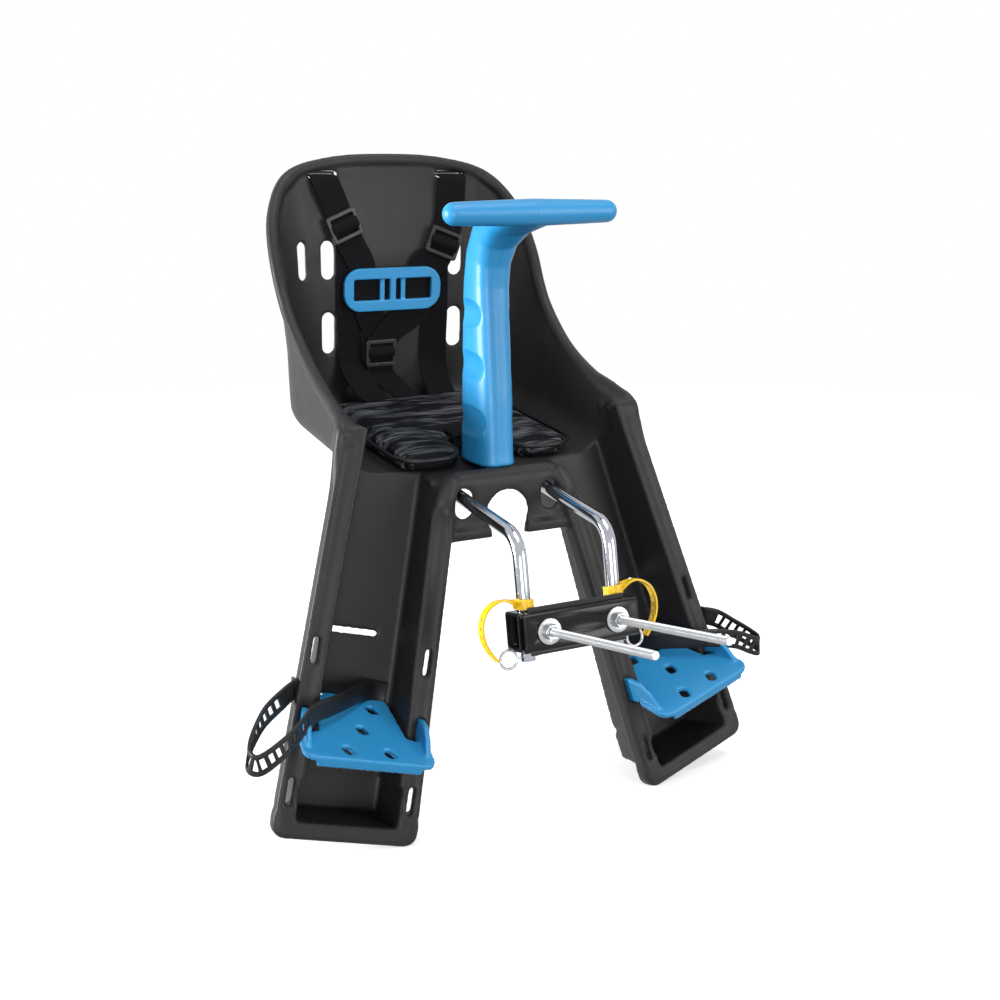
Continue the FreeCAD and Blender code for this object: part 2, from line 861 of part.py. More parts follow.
def safety_clip():
    """A wire clip for the right bar end: a pin through the bar and a finger ring outside it."""
    inner = bar_x - bar_radius - clip_inside
    reach = clip_start() - inner
    pin = Part.makeCylinder(clip_wire * 0.95, reach, V(inner, bar_back, -clip_drop), V(1, 0, 0))
    return placed(clip_ring_loop().fuse(pin), clamp_place())


def safety_strap():
    """The strap that keeps the right clip: a collar on the bar and a bowed, pierced band."""
    high = tube_height / 2 + safety_width / 2 + safety_rise
    collar_out = bar_radius + clearance + safety_thick
    axis = V(bar_x, bar_back, high - safety_width / 2)
    collar = Part.makeCylinder(collar_out, safety_width, axis, V(0, 0, 1))
    bore = Part.makeCylinder(bar_radius + clearance, safety_width + 2, axis - V(0, 0, 1), V(0, 0, 1))
    out = tube_length / 2 + safety_bulge
    low = -clip_drop
    ring_out = clip_start() + 2 * clip_ring
    bow = [(bar_x + collar_out - 0.6, high), (bar_x + 15, high + 4), (out - 12, high + 3), (out - 3, high - 5),
           (out, high - 15), (out - 1, high - 25), (out - 5, low + 6), (ring_out + 1.5, low)]
    points = [V(x, bar_back, z) for x, z in bow]
    belt = band(points, [V(0, 1, 0)] * len(points), safety_width, safety_thick)
    holes = []
    for k in range(2, 6):
        a = points[k]
        b = points[k + 1]
        normal = (b - a).cross(V(0, 1, 0))
        normal.normalize()
        for share in (0.25, 0.75):
            at = a + (b - a) * share
            length = safety_width * 0.4
            holes.append(slot(at, V(0, 1, 0), b - a, normal * 8, length, safety_width * 0.25))
    start = V(ring_out, bar_back - safety_width / 2, low)
    eye = Part.makeCylinder(clip_wire + 2.2, safety_width, start, V(0, 1, 0))
    hole = Part.makeCylinder(clip_wire + 0.8, 20, V(ring_out - 0.3, bar_back, low - 10), V(0, 0, 1))
    return placed(collar.fuse([belt, eye]).cut([bore, hole] + holes), clamp_place())


# Handle

def stem_section(y, z, lean, width, depth):
    """One soft-cornered section of the upright, as a many-sided wire."""
    points = []
    for k in range(handle_sides):
        t = 2 * math.pi * (k + 0.5) / handle_sides
        x = math.copysign(abs(math.cos(t)) ** (2 / handle_square), math.cos(t)) * width / 2
        d = math.copysign(abs(math.sin(t)) ** (2 / handle_square), math.sin(t)) * depth / 2
        points.append(V(x, d, 0))
    wire = Part.makePolygon(points + [points[0]])
    wire.Placement = FreeCAD.Placement(V(0, y, z), FreeCAD.Rotation(V(1, 0, 0), lean))
    return wire


def handle_stem(inset):
    """The upright, which bends forward under the grip."""
    y = handle_base_y
    sections = [
        (y, bridge_top_z + inset, 0, handle_width, handle_depth),
        (y, bridge_top_z + 8, 0, handle_width - 1, handle_depth - 2),
        (y, 300.0, 0, handle_width - 1, handle_depth - 6),
        (y + 1, 350.0, 0, handle_width - 2, handle_depth - 12),
        (y + 1, 382.0, 3, handle_width - 2, handle_depth - 16),
        (y - 3, 403.0, 22, handle_width - 1, handle_depth - 19),
        (y - 14, 420.0, 45, handle_width + 2, handle_depth - 22),
        (y - 34, 431.0, 66, handle_width + 8, handle_depth - 27),
        (grip_y + 4, grip_z - 0.5, 82, handle_width + 16, handle_depth - 34),
    ]
    narrow = 2 * inset + (2 * thumb_deep if inset else 0)
    wires = [stem_section(a, b, lean, w - narrow, d - 2 * inset) for a, b, lean, w, d in sections]
    return Part.makeLoft(wires, True, True)


def handle_grip(inset):
    end = grip_half - inset
    r0 = grip_radius - inset
    r1 = grip_end_radius - inset
    points = [V(-end, 0, 0), V(-end + r1, r1, 0), V(0, r0, 0), V(end - r1, r1, 0), V(end, 0, 0)]
    k = r1 * math.sqrt(0.5)
    edges = [
        Part.Arc(points[0], V(-end + r1 - k, k, 0), points[1]).toShape(),
        Part.makeLine(points[1], points[2]),
        Part.makeLine(points[2], points[3]),
        Part.Arc(points[3], V(end - r1 + k, k, 0), points[4]).toShape(),
        Part.makeLine(points[4], points[0]),
    ]
    bar = Part.Face(Part.Wire(edges)).revolve(V(0, 0, 0), V(1, 0, 0), 360)
    bar.translate(V(0, grip_y, grip_z))
    return bar


def handle_halves():
    """Left and right half shells of the handle, parted on the middle plane."""
    outer = handle_stem(0.0).fuse(handle_grip(0.0))
    inner = handle_stem(handle_wall).fuse(handle_grip(handle_wall))
    thumbs = []
    for z in thumb_heights:
        for side in (-1, 1):
            x = side * (handle_width / 2 - 1 - thumb_deep + thumb_radius)
            start = V(x, handle_base_y - handle_depth, z)
            thumbs.append(Part.makeCylinder(thumb_radius, 2 * handle_depth, start, V(0, 1, 0)))
    w = plug_width / 2 - clearance
    d = plug_depth / 2 - clearance
    low = bridge_top_z - plug_drop
    plug = box(-w, w, handle_base_y - d, handle_base_y + d, low, bridge_top_z + handle_wall + 8)
    start = V(0, handle_base_y - pan_front_y, -10)
    bore = Part.makeCylinder(handle_screw_radius + 0.05, 40, start, V(0, 0, 1))
    body = outer.cut(thumbs).cut(inner).fuse(plug).cut(placed(bore, pan_place()))
    right = body.common(box(half_gap / 2, 200, -200, 400, 0, 600))
    left = body.common(box(-200, -half_gap / 2, -200, 400, 0, 600))
    return left, right


def handle_plate():
    y = handle_base_y - pan_front_y
    half = plug_depth / 2 + 7
    wide = plug_width / 2 + 5
    body = box(-wide, wide, y - half, y + half, -wall - handle_plate_thick, -wall)
    body = body.cut(Part.makeCylinder(handle_screw_radius + 0.25, 10, V(0, y, -wall - 5), V(0, 0, 1)))
    return placed(body, pan_place())


def handle_screw():
    y = handle_base_y - pan_front_y
    under = -wall - handle_plate_thick
    base = V(0, y, under - handle_screw_head)
    shank = Part.makeCylinder(handle_screw_radius, 22, V(0, y, under), V(0, 0, 1))
    head = Part.makeCylinder(5.0, handle_screw_head, base, V(0, 0, 1))
    socket = hex_prism(5.0, 2.5, base, V(0, 0, 1))
    return placed(shank.fuse(head).cut(socket), pan_place())


# Footrests and foot straps, in the leg's axes

def rest_place():
    slope = math.radians(rest_slope)
    turn = FreeCAD.Rotation(V(1, 0, 0), V(0, math.sin(slope), -math.cos(slope)), V(0, 0, 1), "XYZ")
    front = V(frame_start + frame_width / 2, rest_front_up, rest_front)
    return leg_place().multiply(FreeCAD.Placement(front, turn))


def rest_back(out):
    """Distance back from the front edge along the plate, for a place out of the leg's front."""
    return (rest_front - out) / math.cos(math.radians(rest_slope))


def rest_fin(outer):
    """The upright cheek that hooks into the frame's slot."""
    step = foot_steps[rest_step]
    x = hook_x(step, outer)
    low = step - hook_slot_length / 2 + 1
    high = step + hook_slot_length / 2 - 1
    behind = -frame_groove - wall - 0.6
    points = [V(0, low, 12), V(0, low - 4, 29), V(0, high - 11, 22), V(0, high - 3, 13), V(0, high, 3),
              V(0, high, behind - 3), V(0, low - 3, behind - 3), V(0, low - 3, behind), V(0, low, behind)]
    fin = Part.Face(Part.makePolygon(points + [points[0]])).extrude(V(rest_side, 0, 0))
    fin.translate(V(x - rest_side / 2, 0, 0))
    return placed(fin, leg_place())


def footrest():
    half = frame_width / 2 - 5.5
    inner = half - 15.5
    back = rest_back(-trough_depth(foot_steps[rest_step] + back_slot_up)) - 1.5
    tail = half - 21
    step = rest_back(12.0)
    corners = [V(-half, 0, 0), V(half, 0, 0), V(half, step, 0), V(inner, step + 7, 0),
               V(tail, back, 0), V(-tail, back, 0), V(-inner, step + 7, 0), V(-half, step, 0)]
    radii = [rest_round, rest_round, 3, 3, 5, 5, 3, 3]
    body = plate(corners, radii, V(0, 0, -rest_thick))
    shift = back_slot_shift
    tab = box(shift - 15, shift + 15, back - 2, back + 8, -rest_thick, 0)
    holes = []
    for x, out in ((-1, 27.0), (1, 27.0), (0, 0.0), (-1, -28.0), (1, -28.0)):
        centre = V(x * rest_hole_pitch * (1.0 if out > 0 else 0.85), rest_back(out), 0)
        through = V(0, 0, 20)
        holes.append(slot(centre, V(0.4, 1, 0), V(1, -0.4, 0), through, rest_hole_length, rest_hole_width))
    lip = box(-half + rest_round, half - rest_round, 0, 2.5, -rest_thick - 4, -rest_thick + 1)
    body = placed(body.fuse([tab, lip]).cut(holes), rest_place())
    return body.fuse([rest_fin(False), rest_fin(True)])


def foot_strap(loop):
    """The pierced strap over the instep, from the trough's back wall round to the leg's outer side."""
    off = ladder_thick / 2 + clearance
    side_at = frame_edge(95.0, True) + off + 0.4
    back_at = -trough_depth(97.0) + off + 0.6
    hub = V(104, 86, 8)
    bow = [V(106, 74, 30), V(118, 62, 36), V(126, 57, 36), V(130, 60, 30), V(127, 68, 20), V(120, 79, 10)]
    points = [V(25, 97, back_at), V(36, 98, back_at + 1.2), V(46, 99, -32), V(60, 97, -14), V(76, 94, 3)]
    points.append(V(91, 89.5, 17))
    points += [hub + (point - hub) * loop for point in bow]
    points += [V(110, 89, 2), V(side_at + 0.8, 94, -4), V(side_at, 95, -13)]
    sides = [V(0.1, 1, 0.25)] * len(points)
    sides[0] = V(0, 1, 0)
    sides[-1] = V(0, 1, 0.1)
    belt = band(points, sides, ladder_width, ladder_thick)
    holes = []
    for k in range(4, len(points) - 4):
        a = points[k]
        ahead = points[k + 1] - a
        count = max(1, int(ahead.Length // ladder_pitch))
        side = sides[k] - ahead * (sides[k].dot(ahead) / ahead.dot(ahead))
        side.normalize()
        normal = ahead.cross(side)
        normal.normalize()
        along = V(ahead)
        along.normalize()
        for j in range(count):
            at = a + ahead * ((j + 0.5) / count) - normal * 5
            s = side * (ladder_hole / 2)
            t = along * (ladder_gap / 2)
            holes.append(plate([at - s - t, at + s - t, at + s + t, at - s + t], [0] * 4, normal * 10))
    return placed(belt.cut(holes), leg_place())


# Harness and pad

def layer_at(up):
    """Growth of width and depth and the corner radius of the bucket at a height above the pan."""
    rows = bucket_layers
    i = 0
    while i < len(rows) - 2 and up > rows[i + 1][0]:
        i += 1
    share = (up - rows[i][0]) / (rows[i + 1][0] - rows[i][0])
    return [a + (b - a) * share for a, b in zip(rows[i][1:], rows[i + 1][1:])]


def back_point(x, up, off):
    """A place in front of the backrest, by its distance across, height above the pan and standoff."""
    wider, deeper, corner = layer_at(up)
    flat = hip_half_width + wider - corner
    beyond = max(abs(x) - flat, 0.0)
    hollow = back_hollow * max(1 - (x / flat) ** 2, 0.0)
    turned = corner - math.sqrt(corner ** 2 - beyond ** 2)
    return pan_place().multVec(V(x, bucket_depth + deeper + hollow - turned - off, up))


def back_strap(route, ahead=()):
    """Webbing along the backrest, which may go on over further places given in the pan's axes."""
    points = [back_point(x, up, off) for x, up, off in route]
    sides = [back_point(x + 5, up, 0) - back_point(x - 5, up, 0) for x, up, off in route]
    points += [pan_place().multVec(V(*place)) for place in ahead]
    sides += [V(1, 0, 0)] * len(ahead)
    return band(points, sides, strap_width, strap_thick)


def shoulder_strap(side):
    """From the slot at the top, behind the chest plate and inward to the crotch adjuster."""
    low = strap_off if side < 0 else strap_off + strap_layer
    drop = top_slot_height / 2 - strap_thick / 2 - clearance
    through = top_slot_up - drop
    up, x = shoulder_glide_place(side)
    half = glide_height / 2 + 2
    lean = half * math.tan(math.radians(glide_lean))
    plate_half = chest_height / 2
    route = [(side * top_slot_x, through, -wall - strap_tail),
             (side * top_slot_x, through + 0.4, 2.0),
             (side * (top_slot_x - 1), through - 4, strap_off + 1.5),
             (side * (x + lean), up + half, strap_off),
             (side * (x - lean), up - half, strap_off),
             (side * chest_strap_xs[0], chest_up + plate_half, strap_off),
             (side * chest_strap_xs[1], chest_up - plate_half, strap_off),
             (side * 7 + crotch_x * 0.6, 62.0, low),
             (crotch_x, crotch_up + 2, low),
             (crotch_x, crotch_up - 10, low)]
    return back_strap(route)


def lap_strap(side):
    """From the shoulder adjuster down the backrest and forward over the pad to the crotch strap."""
    top = shoulder_glide_place(side)[0]
    x = slot_x - slot_width / 2 - strap_width / 2 - 1
    route = [(side * x, up, lap_off) for up in (top - 4, 125.0, 100.0, 75.0)]
    route += [(side * (x - 1), 48.0, lap_off + 0.5), (side * (x - 2), 32.0, lap_off + 4)]
    over = pad_thick + clearance + strap_thick / 2 + 0.4
    beside = strap_width + 1.0
    ahead = [(side * (x - 5), 176.0, 22.0),
             (side * 32, 160.0, over + 1.5),
             (side * (beside + 2), 140.0, over),
             (side * beside, 112.0, over)]
    return back_strap(route, ahead)


def crotch_strap():
    """From its adjuster forward over the pad and down through the slot of the pan."""
    front = strap_off + 2 * strap_layer
    half = glide_height / 2 + 2
    route = [(crotch_x, crotch_up + half, front), (crotch_x, crotch_up - half, front),
             (crotch_x * 0.8, crotch_up - half - 7, front + 5)]
    over = pad_thick + clearance + strap_thick / 2 + 0.4
    down = crotch_slot_y + top_slot_height / 2 - strap_thick / 2 - 2 * clearance
    ahead = [(crotch_x * 0.5, 172.0, 18.0),
             (crotch_x * 0.2, 156.0, over + 1.0),
             (0, 130.0, over),
             (0, crotch_slot_y + 11, over + 0.3),
             (0, crotch_slot_y + 6, over - 2),
             (0, down + 0.6, over - 7),
             (0, down, 0.0),
             (0, down, -wall - strap_tail)]
    return back_strap(route, ahead)


def glide(x, up, off, lean):
    """A flat three-bar adjuster that the webbing is threaded through."""
    w = glide_width / 2
    h = glide_height / 2
    body = plate([V(-w, 0, -h), V(w, 0, -h), V(w, 0, h), V(-w, 0, h)], [2.5] * 4, V(0, glide_thick, 0))
    gap = (glide_height - 3 * glide_bar) / 2
    for low in (-h + glide_bar, glide_bar / 2):
        body = body.cut(box(-w + glide_bar, w - glide_bar, -5, 10, low, low + gap))
    half = glide_height / 2 + 2
    over = half * math.tan(math.radians(lean))
    high = back_point(x + over, up + half, off + glide_thick)
    low = back_point(x - over, up - half, off + glide_thick)
    across = back_point(x + 5, up, 0) - back_point(x - 5, up, 0)
    turn = FreeCAD.Rotation(across, V(0, 1, 0), high - low, "ZXY")
    return placed(body, FreeCAD.Placement((high + low) * 0.5, turn))


def shoulder_glide_place(side):
    k = 0 if side < 0 else 1
    return glide_ups[k], glide_xs[k]


def shoulder_glide(side):
    up, x = shoulder_glide_place(side)
    return glide(side * x, up, strap_off + strap_thick / 2 + clearance, side * glide_lean)


def crotch_glide():
    off = strap_off + 2 * strap_layer + strap_thick / 2 + clearance
    return glide(crotch_x, crotch_up, off, 0)


def chest_plate():
    """The moulded plate across both shoulder straps, with a window over each."""
    w = chest_half
    h = chest_height / 2
    corners = [V(-w, 0, -h), V(w, 0, -h), V(w, 0, h), V(-w, 0, h)]
    body = plate(corners, [chest_round] * 4, V(0, chest_thick, 0))
    for side in (-1, 1):
        a = window_width / 2
        b = window_height / 2
        x = side * window_x
        corners = [V(x - a, -5, -b), V(x + a, -5, -b), V(x + a, -5, b), V(x - a, -5, b)]
        body = body.cut(plate(corners, [1.5] * 4, V(0, 20, 0)))
        bar = x - side * (a - window_bar_in)
        body = body.fuse(box(bar - 2, bar + 2, 1, chest_thick, -b - 1, b + 1))
    off = strap_off + strap_thick / 2 + strap_turn + clearance + chest_thick
    high = back_point(chest_strap_xs[0], chest_up + h, off)
    low = back_point(chest_strap_xs[1], chest_up - h, off)
    slope = math.degrees(math.atan2(high.y - low.y, high.z - low.z))
    at = (high + low) * 0.5
    at.x = chest_shift
    return placed(body, FreeCAD.Placement(at, FreeCAD.Rotation(V(1, 0, 0), -slope)))


def strap_stops():
    """Bars on the webbing ends behind the top slots and under the pan, which keep them from pulling out."""
    half = stop_length / 2
    gap = strap_thick + 2 * clearance
    stops = []
    drop = top_slot_height / 2 - strap_thick / 2 - clearance
    for side in (-1, 1):
        up = top_slot_up - drop
        rise = back_point(side * top_slot_x, up + 5, 0) - back_point(side * top_slot_x, up - 5, 0)
        across = back_point(side * top_slot_x + 5, up, 0) - back_point(side * top_slot_x - 5, up, 0)
        turn = FreeCAD.Rotation(across, V(0, 1, 0), rise, "ZXY")
        body = box(-half, half, 0, 3.2, -stop_height / 2, stop_height / 2)
        body = placed(body, FreeCAD.Placement(back_point(side * top_slot_x, up, -wall - 3.6), turn))
        webbing = back_point(side * top_slot_x, up, 0)
        opening = box(-strap_width / 2 - 0.5, strap_width / 2 + 0.5, -20, 20, -gap / 2 - 1, gap / 2 + 1)
        opening.translate(webbing)
        stops.append(body.cut(opening))
    down = crotch_slot_y + top_slot_height / 2 - strap_thick / 2 - 2 * clearance
    body = box(-half, half, -stop_height / 2, stop_height / 2, -1.6, 1.6)
    body = body.cut(box(-strap_width / 2 - 0.5, strap_width / 2 + 0.5, -gap / 2, gap / 2, -5, 5))
    body.translate(V(0, down, -wall - 1.6 - 4 * clearance))
    stops.append(placed(body, pan_place()))
    return Part.makeCompound(stops)


def seat_pad():
    """The loose pad on the pan, notched for the handle."""
    w = pad_half_width
    n = pad_notch_half
    notch = pad_front + pad_notch_depth
    corners = [V(-w, pad_front, 0), V(-n, pad_front, 0), V(-n, notch, 0), V(n, notch, 0),
               V(n, pad_front, 0), V(w, pad_front, 0), V(w, pad_back, 0), V(-w, pad_back, 0)]
    radii = [pad_round, pad_round, n * 0.8, n * 0.8, pad_round, pad_round, pad_round, pad_round]
    body = plate(corners, radii, V(0, 0, pad_thick))
    body.rotate(V(0, (pad_front + pad_back) / 2, 0), V(0, 0, 1), pad_skew)
    body.translate(V(0, 0, clearance))
    return placed(body, pan_place())


def write_all():
    left, right = handle_halves()
    pieces = {
        "carrier_bar": carrier_bar(),
        "bar_clamp_front": bar_clamp(saddle_ys[0]),
        "bar_clamp_rear": bar_clamp(saddle_ys[1]),
        "bar_screws": bar_screws(),
        "clamp_tube": clamp_tube(),
        "jaw_liner": jaw_liner(),
        "front_jaw": front_jaw(),
        "clamp_bolts": clamp_bolts(),
        "clamp_washers": clamp_washers(),
        "clamp_nuts": clamp_nuts(),
        "safety_clip_right": safety_clip(),
        "safety_clip_left": mirrored(safety_clip()),
        "safety_strap_right": safety_strap(),
        "safety_strap_left": mirrored(safety_strap()),
        "handle_left": left,
        "handle_right": right,
        "handle_plate": handle_plate(),
        "handle_screw": handle_screw(),
        "footrest_right": footrest(),
        "footrest_left": mirrored(footrest()),
        "foot_strap_right": foot_strap(strap_loops[0]),
        "foot_strap_left": mirrored(foot_strap(strap_loops[1])),
        "shoulder_strap_right": shoulder_strap(1),
        "shoulder_strap_left": shoulder_strap(-1),
        "lap_strap_right": lap_strap(1),
        "lap_strap_left": lap_strap(-1),
        "crotch_strap": crotch_strap(),
        "adjuster_right": shoulder_glide(1),
        "adjuster_left": shoulder_glide(-1),
        "adjuster_crotch": crotch_glide(),
        "chest_plate": chest_plate(),
        "strap_stops": strap_stops(),
        "seat_pad": seat_pad(),
        "seat_shell": seat_shell(),
    }
    for name, shape in pieces.items():
        save(name, shape)


def save(name, shape):
    finished = shape.copy()
    finished.translate(V(0, 0, 0) - clamp_centre)
    finished.exportStep("parts/" + name + ".step")


def main():
    os.makedirs("parts", exist_ok=True)
    write_all()


if __name__ == "__main__":
    main()
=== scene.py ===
import math
from collections import namedtuple

import bmesh
import bpy
from bpy.props import FloatProperty, FloatVectorProperty, PointerProperty
from mathutils import Matrix, Vector


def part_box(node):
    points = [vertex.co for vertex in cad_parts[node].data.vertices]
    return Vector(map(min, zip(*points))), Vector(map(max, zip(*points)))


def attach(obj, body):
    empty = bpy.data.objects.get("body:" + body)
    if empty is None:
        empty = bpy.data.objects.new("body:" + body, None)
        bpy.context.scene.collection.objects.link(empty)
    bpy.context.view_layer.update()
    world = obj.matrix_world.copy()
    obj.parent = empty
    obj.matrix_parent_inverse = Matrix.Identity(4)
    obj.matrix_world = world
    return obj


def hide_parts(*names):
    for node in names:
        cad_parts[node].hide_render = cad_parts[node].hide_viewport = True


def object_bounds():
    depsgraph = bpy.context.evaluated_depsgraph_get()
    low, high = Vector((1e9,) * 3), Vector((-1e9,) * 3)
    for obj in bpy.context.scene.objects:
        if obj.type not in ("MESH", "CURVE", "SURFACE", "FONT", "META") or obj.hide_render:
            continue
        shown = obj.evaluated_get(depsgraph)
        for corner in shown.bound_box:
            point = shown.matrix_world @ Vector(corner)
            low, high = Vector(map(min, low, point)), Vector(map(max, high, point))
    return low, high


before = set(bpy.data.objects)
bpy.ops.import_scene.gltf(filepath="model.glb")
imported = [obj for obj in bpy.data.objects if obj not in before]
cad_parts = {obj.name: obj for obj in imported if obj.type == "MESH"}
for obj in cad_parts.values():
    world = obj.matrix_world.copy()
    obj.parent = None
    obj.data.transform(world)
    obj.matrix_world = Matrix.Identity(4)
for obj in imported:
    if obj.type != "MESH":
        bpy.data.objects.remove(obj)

CAD_BOX = [list(corner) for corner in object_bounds()]

bl_info = {
    "name": "Front-mounted child bike seat",
    "version": (1, 0, 0),
    "blender": (4, 5, 0),
    "location": "View3D > Sidebar > Bike seat",
    "description": "Builds the visual model of a front-mounted child bike seat on its CAD frame",
    "category": "Object",
}


def straight(across, up, out):
    """The front and back face of a straight block on a leg."""
    return (*across, *up, out[0]), (*across, *up, out[1])


# The clamp bolts run forward and a little up, and the pan falls towards its back
CLAMP_TILT = math.radians(10.5)
PAN_TILT = math.radians(7.5)
FORWARD = Vector((0.0, -math.cos(CLAMP_TILT), math.sin(CLAMP_TILT)))
CLAMP_UP = Vector((0.0, math.sin(CLAMP_TILT), math.cos(CLAMP_TILT)))
PAN_UP = Vector((0.0, -math.sin(PAN_TILT), math.cos(PAN_TILT)))

# From the part's layout to the frame, in mm
LAYOUT = Vector((0.0, 52.25, -159.85))

# The right leg's own axes, its width and how much each side leans in, in mm
LEG_CORNER = LAYOUT + Vector((101.4, 0.0, 0.0))
LEG_UP = Vector((-0.27, 0.19, 1.0)).normalized()
LEG_OUT = Vector((98.6, 18.8, 26.1)).cross(LEG_UP).normalized()
LEG_ACROSS = LEG_UP.cross(LEG_OUT)
LEG_WIDTH = 104.0
LEG_TAPER = 0.028

# Blocks on a leg: across from and to, up from and to, and out, at the front face and at the back face, in mm
FOOT_TRAY = (10.0, 92.0, 0.0, 26.0, -3.0), (14.5, 87.5, 3.0, 26.0, -51.0)
FOOT_HOLLOW = (13.0, 89.0, 3.0, 33.0, 6.0), (17.5, 84.5, 6.0, 33.0, -47.9)
SOLE = straight((-2.5, 104.5), (-9.5, 16.0), (-0.5, -14.0))
SOLE_EDGE = 2.5
SOLE_CORNER = 10.0
OUTER_BAND = straight((91.5, 101.5), (-5.0, 275.0), (-1.3, -9.0))
INNER_BAND = straight((0.5, 10.5), (-5.0, 231.0), (-1.3, -9.0))
KNEE = straight((84.0, 97.0), (264.0, 288.0), (-8.0, -34.0))
KNEE_EDGE = 5.0

# The steps up a leg at which the footrests hook in, and the hooks' slots in the two bands, in mm
HOOK_STEPS = (23.5, 73.5, 123.5)
HOOK_OUTER = 96.0
HOOK_INNER = 6.0
HOOK_HALF_WIDTH = 2.0
HOOK_HALF_HEIGHT = 10.0
HOOK_OUT = (6.0, -22.0)

# The slit over each step in the trough's back wall, and the wall's depth there, in mm
SLIT_RISE = 14.0
SLIT_ACROSS = (39.0, 75.0)
SLIT_HALF_HEIGHT = 1.8
SLIT_REACH = 8.0
FILL_ACROSS = (35.0, 79.0)
FILL_HALF_HEIGHT = 6.0
FILL_IN = (0.4, 3.1)
TROUGH_DEPTH = 48.0
TROUGH_FOOT = 22.0
TROUGH_SLOPE = 12.0 / 220.0

# Spots of a leg that are melted soft: across, up and out in mm, then reach in metres and rounds
MELTED = [((7.0, 240.0, -6.0), 0.021, 60), ((97.0, 284.0, -10.0), 0.020, 50)]

# The rim's roll, in mm: its start beyond the leg's outer edge, up it and out of it, then x, y, z to the crown
RIM_START = [(-6.0, 205.0, -9.0), (-3.5, 240.0, -7.0), (-0.5, 268.0, -5.5), (1.0, 282.0, -6.0)]
RIM_LINE = [(113.5, 112.0, 300.0), (111.5, 158.0, 322.0), (112.5, 199.0, 357.0), (113.0, 222.0, 398.0),
            (106.5, 240.0, 431.0), (86.0, 258.0, 458.0), (46.0, 266.0, 469.0)]
RIM_OUTSET = 2.0
RIM_BACKSET = 2.0
RIM_RAISE = 1.0
RIM_EASE = 12.0
RIM_CROWN = (1.5, 2.5)
RIM_STEPS = 8

# The finger dents on each side of the handle's stem, in metres: the stem's back edge, then height and length
DENT_BACK = 0.146
DENT_PROBE = 0.006
FINGER_DENTS = [(0.202, 0.023), (0.1637, 0.032), (0.1224, 0.040)]

# A foot strap on the right leg: across, up and out in mm, with a loop whose size differs from side to side
LADDER_START = [(25, 95, -42.3), (36, 95.5, -41.1), (46, 95, -32), (60, 91, -14), (76, 86, 3), (91, 81, 17)]
LADDER_LOOP = [(106, 69, 30), (118, 58, 36), (126, 53, 36), (130, 56, 30), (127, 65, 20), (120, 77, 10)]
LADDER_END = [(110, 89, 2), (103.5, 94, -4), (102.7, 95, -13)]
LADDER_HUB = Vector((104.0, 86.0, 8.0))
LADDER_SIZE = {"left": 1.2, "right": 0.75}
LADDER_ROOT_LIE = (0.0, 1.0, 0.0)
LADDER_LIE = (0.1, 1.0, 0.25)

# A safety strap on the right arm of the bar: x, back from the jaw face and up, in mm
ARM_X = 36.0
ARM_BACK = 8.0
ARM_LOOP = 6.1
ARM_LOOP_UP = 17.5
ARM_LOOP_RISE = 0.5
CLIP_BOW = [(44.5, 8.6, 20.2), (51.0, 8.0, 22.5), (58.0, 8.0, 22.0), (65.5, 8.0, 17.0), (69.5, 8.0, 8.0),
            (69.0, 8.0, -2.0), (65.0, 8.0, -11.0), (59.5, 8.0, -18.0)]

# A strap's open cells: the stretch of it that has them, their repeat in steps, and their steps and columns
Cells = namedtuple("Cells", "start end repeat steps columns")
LADDER_CELLS = Cells(0.42, 0.90, 5, (1, 2, 3), (1, 2, 3))
CLIP_CELLS = Cells(0.58, 0.93, 6, (1, 2), (1, 2))
EVEN_COLUMNS = tuple(k / 8 for k in range(9))
LADDER_COLUMNS = (0.0, 0.22, 0.41, 0.59, 0.78, 1.0)
CLIP_COLUMNS = (0.0, 0.3, 0.5, 0.7, 1.0)

# The CAD webbing's section, and how the woven one rises over an adjuster's middle bar, in metres
CAD_STRAP_WIDTH = 0.024
CAD_STRAP_THICK = 0.0015
LIFT_HEIGHT = 0.0054
LIFT_REACH = 0.0052
EDGE_CURL = 0.0002
CHEST_LOOP_SHARES = (-0.42, 0.0, 0.42)
CHEST_LOOP_BEHIND = Vector((0.0, 0.0032, 0.0))

# Widths of the rounded edges of the steel pieces and the liner, in metres
BAR_EDGE = 0.0008
JAW_EDGE = 0.0006
LINER_EDGE = 0.0005
WASHER_EDGE = 0.00025
NUT_EDGE = 0.0004
PARTING_EDGE = 0.0003

# The clamp bolts' thread, in metres along the bolt
THREAD_START = 0.0165
THREAD_LAP = 0.0008
THREAD_TIP = 0.0015
CORE_TIP = 0.0006
BOLT_TIP = 0.01
RIDGE_SHARE = 0.46
RIDGE_SINK = 0.0001

# The pad's swelling as cloth, and how far its piping lies under its upper edge
SWELL_PRESSURE = 4.0
SWELL_FRAMES = 20
PIPING_DROP = 0.0022

# The stage: lamps with place in metres, size in metres and power in watts, the floor and the camera
LAMPS = {"key": ((2.4, -3.2, 0.7), 1.8, 68.0), "left": ((-2.6, 0.9, 0.3), 1.2, 150.0),
         "top": ((0.3, -0.5, 2.4), 1.4, 30.0), "fill": ((-1.4, -3.0, 0.0), 1.4, 72.0)}
LAMP_AIM = Vector((0.0, 0.1, 0.1))
LAMP_GLOSS = 0.4
FLOOR_RADIUS = 2.2
FLOOR_GAP = 0.0005
FLOOR_GLOW = 0.55
CAMERA_PLACE = Vector((-0.47738, -0.79079, 0.31285))
CAMERA_AIM = Vector((-0.03088, 0.05575, 0.07976))
CAMERA_LENS = 50.4
SKY_LOW = (0.35, (0.02, 0.02, 0.022, 1.0))
SKY_HIGH = (0.95, (0.30, 0.31, 0.33, 1.0))


def length(name, about, default):
    return FloatProperty(name=name, description=about, default=default, unit="LENGTH", precision=5)


def colour(name, about, default):
    return FloatVectorProperty(name=name, description=about, default=default, subtype="COLOR",
                               min=0.0, max=1.0)


